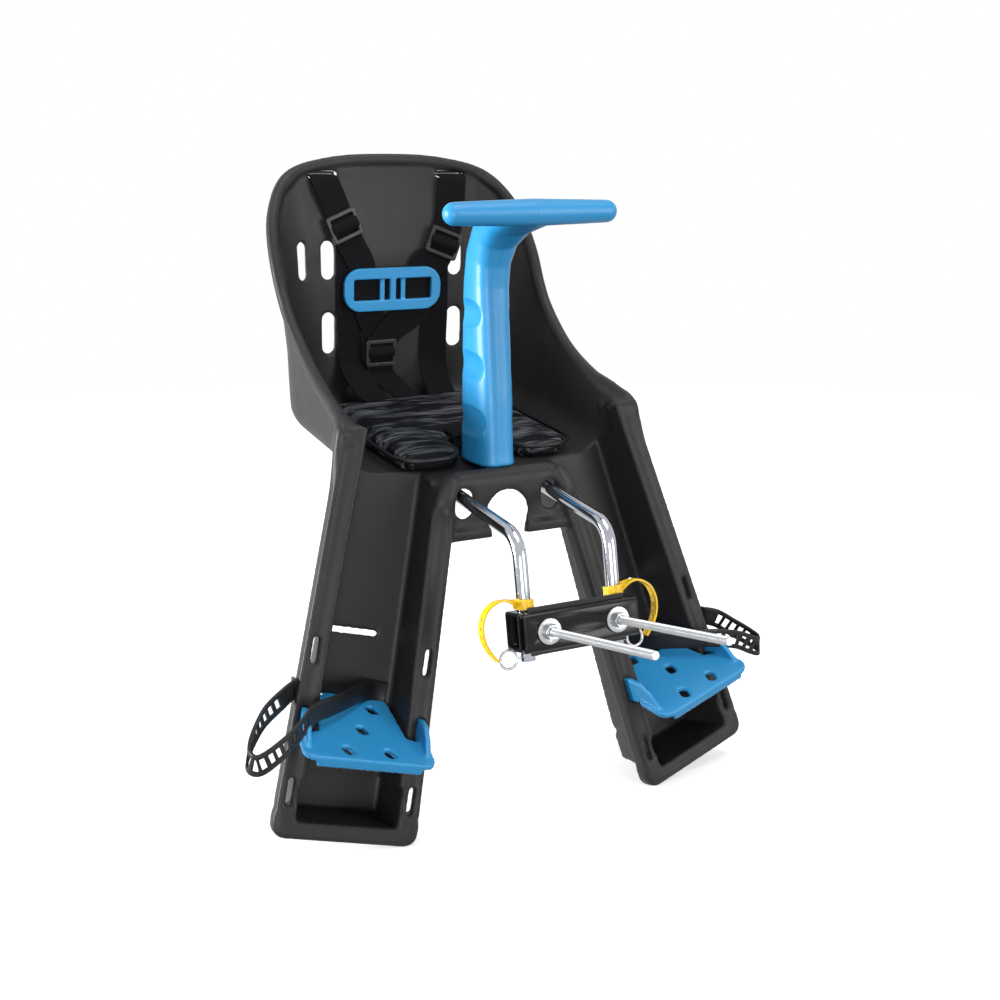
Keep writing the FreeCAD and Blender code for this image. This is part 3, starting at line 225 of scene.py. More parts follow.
class SeatSizes(bpy.types.PropertyGroup):
    """Sizes of the visual model that the CAD frame does not set."""
    shell_voxel: length("Shell grid", "Grid on which the moulded shell is rounded", 0.0014)
    rim_radius: length("Rim radius", "Radius of the rim's roll", 0.0050)
    handle_voxel: length("Handle grid", "Grid on which the handle is rounded", 0.0012)
    dent_height: length("Dent height", "Height of a finger dent", 0.016)
    dent_depth: length("Dent depth", "Depth of a finger dent", 0.0020)
    foot_voxel: length("Footrest grid", "Grid on which the footrests are rounded", 0.0010)
    ladder_width: length("Foot strap width", "Width of the pierced foot straps", 0.015)
    ladder_thick: length("Foot strap thickness", "Thickness of the pierced foot straps", 0.002)
    clip_strap_width: length("Clip strap width", "Width of the straps that keep the clips", 0.0072)
    clip_strap_thick: length("Clip strap thickness", "Thickness of the straps that keep the clips", 0.0015)
    strap_width: length("Webbing width", "Width of the harness webbing", 0.024)
    strap_thick: length("Webbing thickness", "Thickness of the harness webbing", 0.0014)
    chest_loop_width: length("Chest loop width", "Width of the webbing behind the chest plate", 0.026)
    weave_pitch: length("Weave pitch", "Length of one weave row along the webbing", 0.0011)
    buckle_voxel: length("Buckle grid", "Grid on which the adjusters and the chest plate are rounded", 0.0005)
    thread_pitch: length("Thread pitch", "Pitch of the clamp bolts' thread", 0.001)
    thread_outer: length("Thread radius", "Outside radius of the clamp bolts' thread", 0.00295)
    thread_core: length("Thread core", "Core radius of the clamp bolts' thread", 0.00262)
    pad_voxel: length("Pad grid", "Grid of the pad's cover", 0.004)
    pad_swell: length("Pad swell", "Most that the pad's cover may swell", 0.004)
    piping: length("Piping", "Radius of the pad's piping", 0.0017)


class SeatColours(bpy.types.PropertyGroup):
    """Colours of the visual model."""
    shell: colour("Shell", "Moulded shell", (0.025, 0.0225, 0.0220))
    blue: colour("Blue", "Handle, footrests and chest plate", (0.024, 0.285, 0.600))
    yellow: colour("Yellow", "Safety straps", (0.90, 0.56, 0.008))
    black: colour("Black plastic", "Foot straps", (0.010, 0.010, 0.011))
    webbing: colour("Webbing", "Harness webbing", (0.0045, 0.0045, 0.0055))
    # The webbing's lighter colour is a painted highlight on its raised threads and edges
    webbing_highlight: colour("Webbing highlights", "Raised threads of the webbing", (0.020, 0.020, 0.023))
    adjuster: colour("Adjusters", "Three-bar adjusters", (0.022, 0.022, 0.024))
    pad: colour("Pad", "Pad cover", (0.004, 0.004, 0.005))
    streak: colour("Pad streaks", "Streaks printed on the pad cover", (0.115, 0.120, 0.132))
    chrome: colour("Chrome", "Carrier bar", (0.47, 0.49, 0.53))
    zinc: colour("Zinc", "Bolts, nuts and washers", (0.44, 0.45, 0.46))
    paint: colour("Paint", "Black bracket", (0.006, 0.006, 0.007))
    dust: colour("Dust", "Pale dust on the plastics", (0.55, 0.54, 0.53))
    floor: colour("Floor", "Studio floor", (0.93, 0.93, 0.93))


def sizes():
    return bpy.context.scene.seat_sizes


def colours():
    return bpy.context.scene.seat_colours


# Working with objects

def only(*objs):
    """Selects just these objects, the first one active."""
    if bpy.context.object and bpy.context.object.mode != "OBJECT":
        bpy.ops.object.mode_set(mode="OBJECT")
    bpy.ops.object.select_all(action="DESELECT")
    for obj in objs:
        obj.select_set(True)
    if objs:
        bpy.context.view_layer.objects.active = objs[0]


def modify(obj, kind, **values):
    """Adds a modifier with these values and applies it."""
    only(obj)
    bpy.ops.object.modifier_add(type=kind)
    mod = obj.modifiers[-1]
    for key, value in values.items():
        setattr(mod, key, value)
    bpy.ops.object.modifier_apply(modifier=mod.name)


def edit(obj):
    """Opens the object in edit mode with all of it selected."""
    only(obj)
    bpy.ops.object.mode_set(mode="EDIT")
    bpy.ops.mesh.select_all(action="SELECT")


def merged(name, *nodes):
    """One new object with the merged meshes of these CAD nodes."""
    parts = []
    for node in nodes:
        part = bpy.data.objects.new(name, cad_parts[node].data.copy())
        part.data.materials.clear()
        bpy.context.scene.collection.objects.link(part)
        parts.append(part)
    only(*parts)
    if len(parts) > 1:
        bpy.ops.object.join()
    piece = bpy.context.object
    piece.name = name
    piece.data.name = name
    edit(piece)
    bpy.ops.mesh.remove_doubles(threshold=1e-6)
    bpy.ops.object.mode_set(mode="OBJECT")
    return piece


def smooth(obj, angle):
    """Shades an object smooth, apart from edges sharper than the angle in degrees."""
    only(obj)
    bpy.ops.object.shade_smooth_by_angle(angle=math.radians(angle))


def regrid(piece, voxel):
    """Melts all that is joined in a piece into one skin on a fine grid."""
    modify(piece, "REMESH", mode="VOXEL", voxel_size=voxel)


def soften(piece, rounds, limit=190000):
    """Rounds all edges of a fine mesh and keeps it under the limit of triangles."""
    modify(piece, "SMOOTH", factor=0.5, iterations=rounds)
    count = 2 * len(piece.data.polygons)
    if count > limit:
        modify(piece, "DECIMATE", ratio=limit / count)
    only(piece)
    bpy.ops.object.shade_smooth()


def carve(piece, tool):
    """Takes the tool's form out of the piece."""
    modify(piece, "BOOLEAN", operation="DIFFERENCE", object=tool, solver="MANIFOLD")
    bpy.data.objects.remove(tool)


def moulded(name, node, voxel, rounds):
    """A copy of a CAD node whose edges are rounded as a moulding's are."""
    piece = merged(name, node)
    regrid(piece, voxel)
    soften(piece, rounds)
    return piece


def edged(name, node, width):
    """A copy of a CAD node with narrow rounded edges, as on steel pieces."""
    piece = merged(name, node)
    edit(piece)
    bpy.ops.mesh.dissolve_limited(angle_limit=math.radians(0.3))
    bpy.ops.object.mode_set(mode="OBJECT")
    modify(piece, "BEVEL", width=width, segments=2, limit_method="ANGLE", angle_limit=math.radians(40.0))
    smooth(piece, angle=30.0)
    return piece


def deliver(obj, material, slot, *nodes, body="seat"):
    """Gives a finished piece its material and its place on the frame."""
    obj.data.materials.clear()
    obj.data.materials.append(material)
    if nodes:
        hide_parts(*nodes)
    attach(obj, body)


def show(node, made):
    """Gives a CAD node that stays its better material."""
    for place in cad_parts[node].material_slots:
        place.link = "OBJECT"
        place.material = made


def box_middle(node):
    """The middle of a CAD node's box."""
    low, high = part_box(node)
    return (low + high) / 2


# Shader node groups

class Tree:
    """A short way to add and join shader nodes."""

    def __init__(self, tree):
        self.tree = tree

    def add(self, kind, **values):
        node = self.tree.nodes.new(kind)
        for key, value in values.items():
            setattr(node, key, value)
        return node

    def join(self, start, end):
        self.tree.links.new(start, end)

    def math(self, kind, first, second=None, clamp=False):
        node = self.add("ShaderNodeMath", operation=kind, use_clamp=clamp)
        for socket, value in zip(node.inputs, (first, second)):
            if isinstance(value, (int, float)):
                socket.default_value = value
            elif value is not None:
                self.join(value, socket)
        return node.outputs[0]

    def noise(self, place, scale, detail=3.0, rough=0.5):
        node = self.add("ShaderNodeTexNoise")
        self.join(place, node.inputs["Vector"])
        node.inputs["Scale"].default_value = scale
        node.inputs["Detail"].default_value = detail
        node.inputs["Roughness"].default_value = rough
        return node.outputs[0]

    def spread(self, value, low, high, to_low=0.0, to_high=1.0):
        node = self.add("ShaderNodeMapRange")
        self.join(value, node.inputs["Value"])
        for key, number in (("From Min", low), ("From Max", high), ("To Min", to_low), ("To Max", to_high)):
            node.inputs[key].default_value = number
        return node.outputs[0]

    def mix(self, share, first, second):
        node = self.add("ShaderNodeMix", data_type="RGBA")
        self.join(share, node.inputs[0])
        self.join(first, node.inputs[6])
        self.join(second, node.inputs[7])
        return node.outputs[2]

    def stretched(self, place, scale, turn=0.0):
        node = self.add("ShaderNodeMapping")
        self.join(place, node.inputs["Vector"])
        node.inputs["Rotation"].default_value = (0.0, 0.0, math.radians(turn))
        node.inputs["Scale"].default_value = scale
        return node.outputs[0]

    def bump(self, height, strength, distance):
        node = self.add("ShaderNodeBump")
        node.inputs["Distance"].default_value = distance
        if isinstance(strength, float):
            node.inputs["Strength"].default_value = strength
        else:
            self.join(strength, node.inputs["Strength"])
        self.join(height, node.inputs["Height"])
        return node.outputs[0]


def group(name, inputs, outputs):
    """A new node group with these sockets, and its tree, start and end nodes."""
    tree = bpy.data.node_groups.new(name, "ShaderNodeTree")
    for socket, kind, default in inputs:
        item = tree.interface.new_socket(socket, in_out="INPUT", socket_type=kind)
        item.default_value = default
    for socket, kind in outputs:
        tree.interface.new_socket(socket, in_out="OUTPUT", socket_type=kind)
    t = Tree(tree)
    return t, t.add("NodeGroupInput"), t.add("NodeGroupOutput")


def grain_group(name):
    """Fine moulding grain: a tinted colour, a roughness and a normal."""
    t, start, end = group(name,
                          [("Color", "NodeSocketColor", (0.5, 0.5, 0.5, 1.0)),
                           ("Dust", "NodeSocketColor", (0.6, 0.6, 0.6, 1.0)),
                           ("Dusting", "NodeSocketFloat", 0.03),
                           ("Roughness", "NodeSocketFloat", 0.5),
                           ("Grain", "NodeSocketFloat", 0.1),
                           ("Scale", "NodeSocketFloat", 2600.0)],
                          [("Color", "NodeSocketColor"), ("Roughness", "NodeSocketFloat"),
                           ("Normal", "NodeSocketVector")])
    place = t.add("ShaderNodeTexCoord").outputs["Object"]
    broad = t.spread(t.noise(place, 14.0, 4.0), 0.35, 0.75)
    share = t.math("MULTIPLY", broad, start.outputs["Dusting"])
    t.join(t.mix(share, start.outputs["Color"], start.outputs["Dust"]), end.inputs["Color"])
    change = t.spread(t.noise(place, 60.0, 4.0), 0.3, 0.7, -0.04, 0.04)
    t.join(t.math("ADD", start.outputs["Roughness"], change), end.inputs["Roughness"])
    grain = t.add("ShaderNodeTexNoise")
    t.join(place, grain.inputs["Vector"])
    t.join(start.outputs["Scale"], grain.inputs["Scale"])
    grain.inputs["Detail"].default_value = 2.0
    t.join(t.bump(grain.outputs[0], start.outputs["Grain"], 0.0002), end.inputs["Normal"])
    return t.tree


def weave_group(name):
    """Rows and columns of a woven webbing, along and across its own UV metres, with a painted highlight on the
    raised threads and edges.
    """
    t, start, end = group(name,
                          [("Color", "NodeSocketColor", (0.01, 0.01, 0.01, 1.0)),
                           ("Light", "NodeSocketColor", (0.05, 0.05, 0.05, 1.0)),
                           ("Pitch", "NodeSocketFloat", 0.0011),
                           ("Width", "NodeSocketFloat", 0.024)],
                          [("Color", "NodeSocketColor"), ("Normal", "NodeSocketVector")])
    uv = t.add("ShaderNodeSeparateXYZ")
    t.join(t.add("ShaderNodeTexCoord").outputs["UV"], uv.inputs[0])
    along = t.math("DIVIDE", uv.outputs[0], start.outputs["Pitch"])
    across = t.math("DIVIDE", uv.outputs[1], start.outputs["Pitch"])
    column = t.math("FLOOR", t.math("MULTIPLY", across, 0.5))
    shift = t.math("MULTIPLY", column, 0.5)
    row = t.math("SINE", t.math("MULTIPLY", t.math("ADD", along, shift), math.tau))
    rib = t.math("ABSOLUTE", t.math("SINE", t.math("MULTIPLY", across, math.pi)))
    weave = t.math("MULTIPLY", t.math("ADD", t.math("MULTIPLY", row, 0.5), 0.5), rib)
    share_across = t.math("DIVIDE", uv.outputs[1], start.outputs["Width"])
    from_middle = t.math("ABSOLUTE", t.math("SUBTRACT", share_across, 0.5))
    selvedge = t.spread(from_middle, 0.44, 0.47)
    height = t.math("ADD", weave, t.math("MULTIPLY", selvedge, 0.6))
    place = t.add("ShaderNodeTexCoord").outputs["Object"]
    fuzz = t.spread(t.noise(place, 1800.0, 2.0), 0.3, 0.7)
    share = t.math("MULTIPLY", t.math("MULTIPLY", height, fuzz), 0.5)
    # The raised threads and the edges take the light colour: a painted highlight
    t.join(t.mix(share, start.outputs["Color"], start.outputs["Light"]), end.inputs["Color"])
    t.join(t.bump(height, 0.8, 0.0003), end.inputs["Normal"])
    return t.tree


def streak_group(name):
    """Printed streaks across the pad, with the cover's fine weave and folds."""
    t, start, end = group(name,
                          [("Color", "NodeSocketColor", (0.01, 0.01, 0.01, 1.0)),
                           ("Streak", "NodeSocketColor", (0.05, 0.05, 0.05, 1.0))],
                          [("Color", "NodeSocketColor"), ("Normal", "NodeSocketVector")])
    place = t.add("ShaderNodeTexCoord").outputs["Object"]
    lean = -14.0
    broad = t.noise(t.stretched(place, (16.0, 95.0, 60.0), lean), 1.0, 3.0, 0.6)
    fine = t.noise(t.stretched(place, (40.0, 620.0, 300.0), lean), 1.0, 2.0)
    share = t.math("MULTIPLY", t.spread(broad, 0.46, 0.54), t.spread(fine, 0.42, 0.58))
    t.join(t.mix(share, start.outputs["Color"], start.outputs["Streak"]), end.inputs["Color"])
    weave = t.noise(place, 2400.0, 1.0)
    fold = t.noise(t.stretched(place, (18.0, 60.0, 40.0)), 1.0, 2.0)
    height = t.math("ADD", t.math("MULTIPLY", weave, 0.08), t.math("MULTIPLY", fold, 3.0))
    t.join(t.bump(height, 0.7, 0.0008), end.inputs["Normal"])
    return t.tree


def plated_group(name):
    """Fine drawing marks of plated steel: a colour and a roughness."""
    t, start, end = group(name,
                          [("Color", "NodeSocketColor", (0.6, 0.6, 0.6, 1.0)),
                           ("Dark", "NodeSocketColor", (0.3, 0.3, 0.3, 1.0)),
                           ("Roughness", "NodeSocketFloat", 0.2),
                           ("Change", "NodeSocketFloat", 0.1)],
                          [("Color", "NodeSocketColor"), ("Roughness", "NodeSocketFloat")])
    place = t.add("ShaderNodeTexCoord").outputs["Object"]
    cloud = t.spread(t.noise(place, 90.0, 4.0), 0.35, 0.7)
    share = t.math("MULTIPLY", cloud, 0.35)
    t.join(t.mix(share, start.outputs["Color"], start.outputs["Dark"]), end.inputs["Color"])
    marks = t.spread(t.noise(place, 700.0, 3.0), 0.3, 0.7, -0.5, 0.5)
    change = t.math("MULTIPLY", marks, start.outputs["Change"])
    t.join(t.math("ADD", start.outputs["Roughness"], change), end.inputs["Roughness"])
    return t.tree


GROUPS = {"moulding_grain": grain_group, "webbing_weave": weave_group, "pad_streaks": streak_group,
          "plated_steel": plated_group}


def effect(name):
    """The node group of that name, made on its first use."""
    return bpy.data.node_groups.get(name) or GROUPS[name](name)


# Materials

def rgba(values):
    return (values[0], values[1], values[2], 1.0)


def material(name, kind, inputs, constants):
    """A material whose shader takes its varying values from one effect and the rest as constants."""
    found = bpy.data.materials.get(name)
    if found:
        return found
    made = bpy.data.materials.new(name)
    made.use_nodes = True
    tree = made.node_tree
    shader = tree.nodes["Principled BSDF"]
    for key, value in constants.items():
        shader.inputs[key].default_value = value
    node = tree.nodes.new("ShaderNodeGroup")
    node.node_tree = effect(kind)
    for key, value in inputs.items():
        node.inputs[key].default_value = value
    for socket in node.outputs:
        target = "Base Color" if socket.name == "Color" else socket.name
        tree.links.new(socket, shader.inputs[target])
    return made


def plastic(name, base, roughness, grain, dusting=0.02, scale=2600.0, specular=0.5, glow=0.0):
    """A plastic, paint or rubber with moulding grain and a little dust."""
    values = {"Color": rgba(base), "Dust": rgba(colours().dust), "Dusting": dusting, "Roughness": roughness,
              "Grain": grain, "Scale": scale}
    constants = {"Specular IOR Level": specular, "Emission Strength": glow}
    return material(name, "moulding_grain", values, constants)


def metal(name, base, roughness, change):
    """A plated steel whose roughness changes a little over the surface."""
    dark = rgba([0.62 * c for c in base])
    values = {"Color": rgba(base), "Dark": dark, "Roughness": roughness, "Change": change}
    return material(name, "plated_steel", values, {"Metallic": 1.0})


def cloth(name, kind, values, roughness, specular):
    """A cloth with its own weave or print."""
    return material(name, kind, values, {"Roughness": roughness, "Specular IOR Level": specular})


def shell_plastic():
    return plastic("shell_plastic", colours().shell, roughness=0.44, grain=0.16, dusting=0.012, scale=1800.0,
                   specular=0.2)


def blue_plastic():
    return plastic("blue_plastic", colours().blue, roughness=0.40, grain=0.05, dusting=0.0)


def yellow_plastic():
    return plastic("yellow_plastic", colours().yellow, roughness=0.38, grain=0.06, dusting=0.0)


def black_plastic():
    return plastic("black_plastic", colours().black, roughness=0.36, grain=0.08, specular=0.25)


def adjuster_plastic():
    return plastic("adjuster_plastic", colours().adjuster, roughness=0.34, grain=0.06, specular=0.25)


def black_paint():
    return plastic("black_paint", colours().paint, roughness=0.22, grain=0.02, dusting=0.0, scale=900.0,
                   specular=0.25)


def liner_rubber():
    return plastic("liner_rubber", colours().black, roughness=0.75, grain=0.3)


def floor_paint():
    return plastic("studio_floor", colours().floor, roughness=0.9, grain=0.0, dusting=0.0, glow=FLOOR_GLOW)


def webbing_cloth():
    values = {"Color": rgba(colours().webbing), "Light": rgba(colours().webbing_highlight),
              "Pitch": sizes().weave_pitch, "Width": sizes().strap_width}
    return cloth("webbing_cloth", "webbing_weave", values, roughness=0.8, specular=0.1)


def pad_cloth():
    values = {"Color": rgba(colours().pad), "Streak": rgba(colours().streak)}
    return cloth("pad_cloth", "pad_streaks", values, roughness=0.6, specular=0.08)


def chrome():
    return metal("chrome", colours().chrome, roughness=0.12, change=0.06)


def zinc():
    return metal("zinc", colours().zinc, roughness=0.36, change=0.08)


# Straps

def spline(values, at):
    """A smooth value through the list at a place counted in its steps."""
    i = min(int(at), len(values) - 2)
    t = at - i
    p0 = values[max(i - 1, 0)]
    p1, p2 = values[i], values[i + 1]
    p3 = values[min(i + 2, len(values) - 1)]
    return 0.5 * (2 * p1 + (p2 - p0) * t + (2 * p0 - 5 * p1 + 4 * p2 - p3) * t ** 2
                  + (3 * p1 - p0 - 3 * p2 + p3) * t ** 3)


def cad_route(node):
    """Middle points and cross directions of a flat CAD strap, from one end to the other."""
    bm = bmesh.new()
    bm.from_mesh(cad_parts[node].data)
    bmesh.ops.remove_doubles(bm, verts=bm.verts, dist=1e-6)
    rows = []
    for edge in bm.edges:
        if abs(edge.calc_length() - CAD_STRAP_WIDTH) < 3e-6:
            a, b = edge.verts[0].co.copy(), edge.verts[1].co.copy()
            rows.append(((a + b) / 2, (b - a).normalized()))
    bm.free()
    sections = []
    for i, (first, side) in enumerate(rows):
        for second, other in rows[i + 1:]:
            apart = (first - second).length
            if abs(apart - CAD_STRAP_THICK) < 5e-6 and abs(side.dot(other)) > 0.9999:
                sections.append(((first + second) / 2, side))
    middle = sum((s[0] for s in sections), Vector()) / len(sections)
    last = max(sections, key=lambda s: (s[0] - middle).length)
    order = [last]
    left = [s for s in sections if s is not last]
    while left:
        last = min(left, key=lambda s: (s[0] - order[-1][0]).length)
        left.remove(last)
        if last[1].dot(order[-1][1]) < 0:
            last = (last[0], -last[1])
        order.append(last)
    return order


def strap_frames(route, step):
    """Points along the route, their cross directions and normals, and the length run up to each."""
    centres = [r[0] for r in route]
    sides = [r[1] for r in route]
    places = []
    for i in range(len(centres) - 1):
        count = max(1, round((centres[i + 1] - centres[i]).length / step))
        places += [i + k / count for k in range(count)]
    places.append(len(centres) - 1.0)
    line = [spline(centres, p) for p in places]
    run = [0.0]
    for a, b in zip(line, line[1:]):
        run.append(run[-1] + (b - a).length)
    across, normals = [], []
    for i, place in enumerate(places):
        ahead = (line[min(i + 1, len(line) - 1)] - line[max(i - 1, 0)]).normalized()
        side = spline(sides, place).normalized()
        side = (side - ahead * side.dot(ahead)).normalized()
        normal = ahead.cross(side)
        turned = normal.dot(normals[-1]) < 0 if normals else normal.y > 0
        across.append(side)
        normals.append(-normal if turned else normal)
    return line, across, normals, run


def raised(line, normals, run, spots):
    """The line lifted forward over the middle bars at these spots."""
    for spot in spots:
        near = min(range(len(line)), key=lambda k: (line[k] - spot).length)
        out = normals[near] if normals[near].y < 0 else -normals[near]
        rises = [LIFT_HEIGHT * math.exp(-((s - run[near]) / LIFT_REACH) ** 4) for s in run]
        line = [p + out * rise for p, rise in zip(line, rises)]
    return line


def pierce(strap, spots, columns, cells):
    """Opens the strap's cells."""
    last = max(i for i, share in spots)
    only(strap)
    bpy.ops.object.mode_set(mode="EDIT")
    bpy.ops.mesh.select_mode(type="FACE")
    bpy.ops.mesh.select_all(action="DESELECT")
    bm = bmesh.from_edit_mesh(strap.data)
    for face in bm.faces:
        i = min(spots[v.index][0] for v in face.verts)
        column = min(columns.index(spots[v.index][1]) for v in face.verts)
        reached = cells.start < i / last < cells.end
        face.select_set(reached and i % cells.repeat in cells.steps and column in cells.columns)
    bmesh.update_edit_mesh(strap.data)
    bpy.ops.mesh.delete(type="FACE")
    bpy.ops.object.mode_set(mode="OBJECT")


def webbing(name, route, width, thick, step=0.0022, columns=EVEN_COLUMNS, cells=None, lifts=()):
    """A strap along the route, with its UV map in metres along and across it."""
    line, across, normals, run = strap_frames(route, step)
    line = raised(line, normals, run, lifts)
    last, rows = len(line) - 1, len(columns) - 1
    only()
    bpy.ops.mesh.primitive_grid_add(x_subdivisions=last, y_subdivisions=rows, size=1.0, calc_uvs=True)
    strap = bpy.context.object
    strap.name = name
    mesh = strap.data
    spots = []
    for vert in mesh.vertices:
        spots.append((round((vert.co.x + 0.5) * last), columns[round((vert.co.y + 0.5) * rows)]))
    for vert, (i, share) in zip(mesh.vertices, spots):
        curl = EDGE_CURL * abs(2 * share - 1) ** 4
        vert.co = line[i] + across[i] * ((share - 0.5) * width) - normals[i] * curl
    layer = mesh.uv_layers.active.data
    for loop in mesh.loops:
        i, share = spots[loop.vertex_index]
        layer[loop.index].uv = (run[i], share * width)
    if cells:
        pierce(strap, spots, columns, cells)
    modify(strap, "SOLIDIFY", thickness=thick, offset=0.0)
    modify(strap, "BEVEL", width=thick * 0.3, segments=2, limit_method="ANGLE", angle_limit=math.radians(60.0))
    smooth(strap, angle=50.0)
    return strap


# Operators, one for each piece or group of like pieces, with the functions that each one uses

class SEAT_OT_shell(bpy.types.Operator):
    """Rounds the moulded seat shell"""
    bl_idname = "bikeseat.shell"
    bl_label = "Seat shell"

    def execute(self, context):
        piece = merged("shell_moulding", "seat_shell")
        added, cut = [rim_roll()], []
        for side in (-1, 1):
            leg_foot(side, added, cut)
            leg_frame(side, added)
            for step in HOOK_STEPS:
                hook_slots(side, step, cut)
                back_slit(side, step, added, cut)
        only(piece, *added)
        bpy.ops.object.join()
        regrid(piece, sizes().shell_voxel)
        only(*cut)
        bpy.ops.object.join()
        carve(piece, bpy.context.object)
        regrid(piece, sizes().shell_voxel)
        for side in (-1, 1):
            for spot, reach, rounds in MELTED:
                melt(piece, side, spot, reach, rounds)
        soften(piece, rounds=6)
        deliver(piece, shell_plastic(), "shell", "seat_shell")
        return {"FINISHED"}


def leg_spot(across, up, out):
    """A spot on the right leg, in mm of the frame."""
    return LEG_CORNER + LEG_ACROSS * across + LEG_UP * up + LEG_OUT * out


def on_side(side, spot):
    """A spot or direction of the right side, on the side that is asked for."""
    return Vector((side * spot.x, spot.y, spot.z))


def leg_foot(side, added, cut):
    """The foot of the leg's trough and the sole under it."""
    added.append(leg_block(side, *FOOT_TRAY))
    added.append(leg_block(side, *SOLE, edge=SOLE_EDGE, corner=SOLE_CORNER))
    cut.append(leg_block(side, *FOOT_HOLLOW))


def leg_frame(side, added):
    """The shallow step in the frame's bands, and the full corner behind the knee."""
    added.append(leg_block(side, *OUTER_BAND, taper=-LEG_TAPER))
    added.append(leg_block(side, *INNER_BAND, taper=LEG_TAPER))
    added.append(leg_block(side, *KNEE, edge=KNEE_EDGE))


def hook_slots(side, step, cut):
    """The slots of one step, in both bands."""
    up = (step - HOOK_HALF_HEIGHT, step + HOOK_HALF_HEIGHT)
    for middle in (HOOK_OUTER - LEG_TAPER * step, HOOK_INNER + LEG_TAPER * step):
        across = (middle - HOOK_HALF_WIDTH, middle + HOOK_HALF_WIDTH)
        cut.append(leg_block(side, *straight(across, up, HOOK_OUT)))


def back_slit(side, step, added, cut):
    """Closes the trough's back wall over a step and cuts a thin slit there, but not over the lowest."""
    up = step + SLIT_RISE
    wall = (up - TROUGH_FOOT) * TROUGH_SLOPE - TROUGH_DEPTH
    fill = (up - FILL_HALF_HEIGHT, up + FILL_HALF_HEIGHT)
    added.append(leg_block(side, *straight(FILL_ACROSS, fill, (wall - FILL_IN[0], wall - FILL_IN[1]))))
    if step > HOOK_STEPS[0]:
        slit = (up - SLIT_HALF_HEIGHT, up + SLIT_HALF_HEIGHT)
        cut.append(leg_block(side, *straight(SLIT_ACROSS, slit, (wall + SLIT_REACH, wall - SLIT_REACH))))


def leg_block(side, front, back, edge=0.0, taper=0.0, corner=0.0):
    """A block between two faces of a leg, with rounded edges, leaning sides or rounded corners, in mm."""
    only()
    bpy.ops.mesh.primitive_cube_add(size=2.0)
    block = bpy.context.object
    for vert in block.data.vertices:
        face = front if vert.co.z > 0 else back
        vert.co = (face[1 if vert.co.x > 0 else 0], face[3 if vert.co.y > 0 else 2], face[4])
    if corner:
        bm = bmesh.new()
        bm.from_mesh(block.data)
        upright = [line for line in bm.edges if (line.verts[0].co - line.verts[1].co).xy.length < 0.1]
        bmesh.ops.bevel(bm, geom=upright, offset=corner, segments=6, profile=0.5, affect="EDGES")
        bm.to_mesh(block.data)
        bm.free()
    if edge:
        modify(block, "BEVEL", width=edge, segments=4, limit_method="ANGLE", angle_limit=math.radians(40.0))
    for vert in block.data.vertices:
        spot = leg_spot(vert.co.x + taper * vert.co.y, vert.co.y, vert.co.z)
        vert.co = on_side(side, spot) / 1000
    edit(block)
    bpy.ops.mesh.normals_make_consistent(inside=False)
    bpy.ops.object.mode_set(mode="OBJECT")
    return block


def rim_roll():
    """The smooth roll of the bucket's rim, from one knee over the top to the other."""
    right = [leg_spot(LEG_WIDTH - LEG_TAPER * up + beyond, up, out) for beyond, up, out in RIM_START]
    low, high = RIM_LINE[0][2], RIM_LINE[-1][2]
    for x, y, z in RIM_LINE:
        share = (z - low + RIM_EASE) / (high - low + RIM_EASE)
        right.append(LAYOUT + Vector((x + RIM_OUTSET, y + RIM_BACKSET * share, z + RIM_RAISE * share)))
    left = [on_side(-1, p) for p in reversed(right)]
    crown = Vector((0.0, right[-1].y + RIM_CROWN[0], right[-1].z + RIM_CROWN[1]))
    points = right + [crown] + left
    steps = RIM_STEPS * (len(points) - 1)
    curve = bpy.data.curves.new("rim_roll", "CURVE")
    curve.dimensions = "3D"
    curve.bevel_depth = sizes().rim_radius
    curve.bevel_resolution = 4
    curve.use_fill_caps = True
    line = curve.splines.new("POLY")
    line.points.add(steps)
    for i in range(steps + 1):
        line.points[i].co = (spline(points, i / RIM_STEPS) / 1000).to_4d()
    roll = bpy.data.objects.new("rim_roll", curve)
    bpy.context.scene.collection.objects.link(roll)
    only(roll)
    bpy.ops.object.convert(target="MESH")
    return bpy.context.object


def melt(piece, side, spot, reach, rounds):
    """Melts the mesh round a spot of a leg into a soft form."""
    middle = on_side(side, leg_spot(*spot)) / 1000
    area = piece.vertex_groups.new(name="melt")
    for vert in piece.data.vertices:
        away = (vert.co - middle).length / reach
        if away < 1.0:
            area.add([vert.index], min(1.0, 2.0 * (1.0 - away)), "REPLACE")
    modify(piece, "SMOOTH", factor=0.5, iterations=rounds, vertex_group="melt")
    piece.vertex_groups.clear()


class SEAT_OT_handle(bpy.types.Operator):
    """Rounds the two halves of the handle and cuts its finger dents"""
    bl_idname = "bikeseat.handle"
    bl_label = "Handle"

    def execute(self, context):
        for name, side in (("left", -1), ("right", 1)):
            piece = merged("grip_half_" + name, "handle_left", "handle_right")
            regrid(piece, sizes().handle_voxel)
            for height, reach in FINGER_DENTS:
                dent(piece, side, height, reach)
            soften(piece, rounds=4)
            edit(piece)
            bpy.ops.mesh.bisect(plane_co=(0.0, 0.0, 0.0), plane_no=(side, 0.0, 0.0), use_fill=True,
                                clear_inner=True)
            bpy.ops.object.mode_set(mode="OBJECT")
            modify(piece, "BEVEL", width=PARTING_EDGE, segments=1, limit_method="ANGLE",
                   angle_limit=math.radians(50.0))
            smooth(piece, angle=35.0)
            deliver(piece, blue_plastic(), "handle", "handle_" + name)
        for node in ("handle_plate", "handle_screw"):
            show(node, zinc())
        return {"FINISHED"}


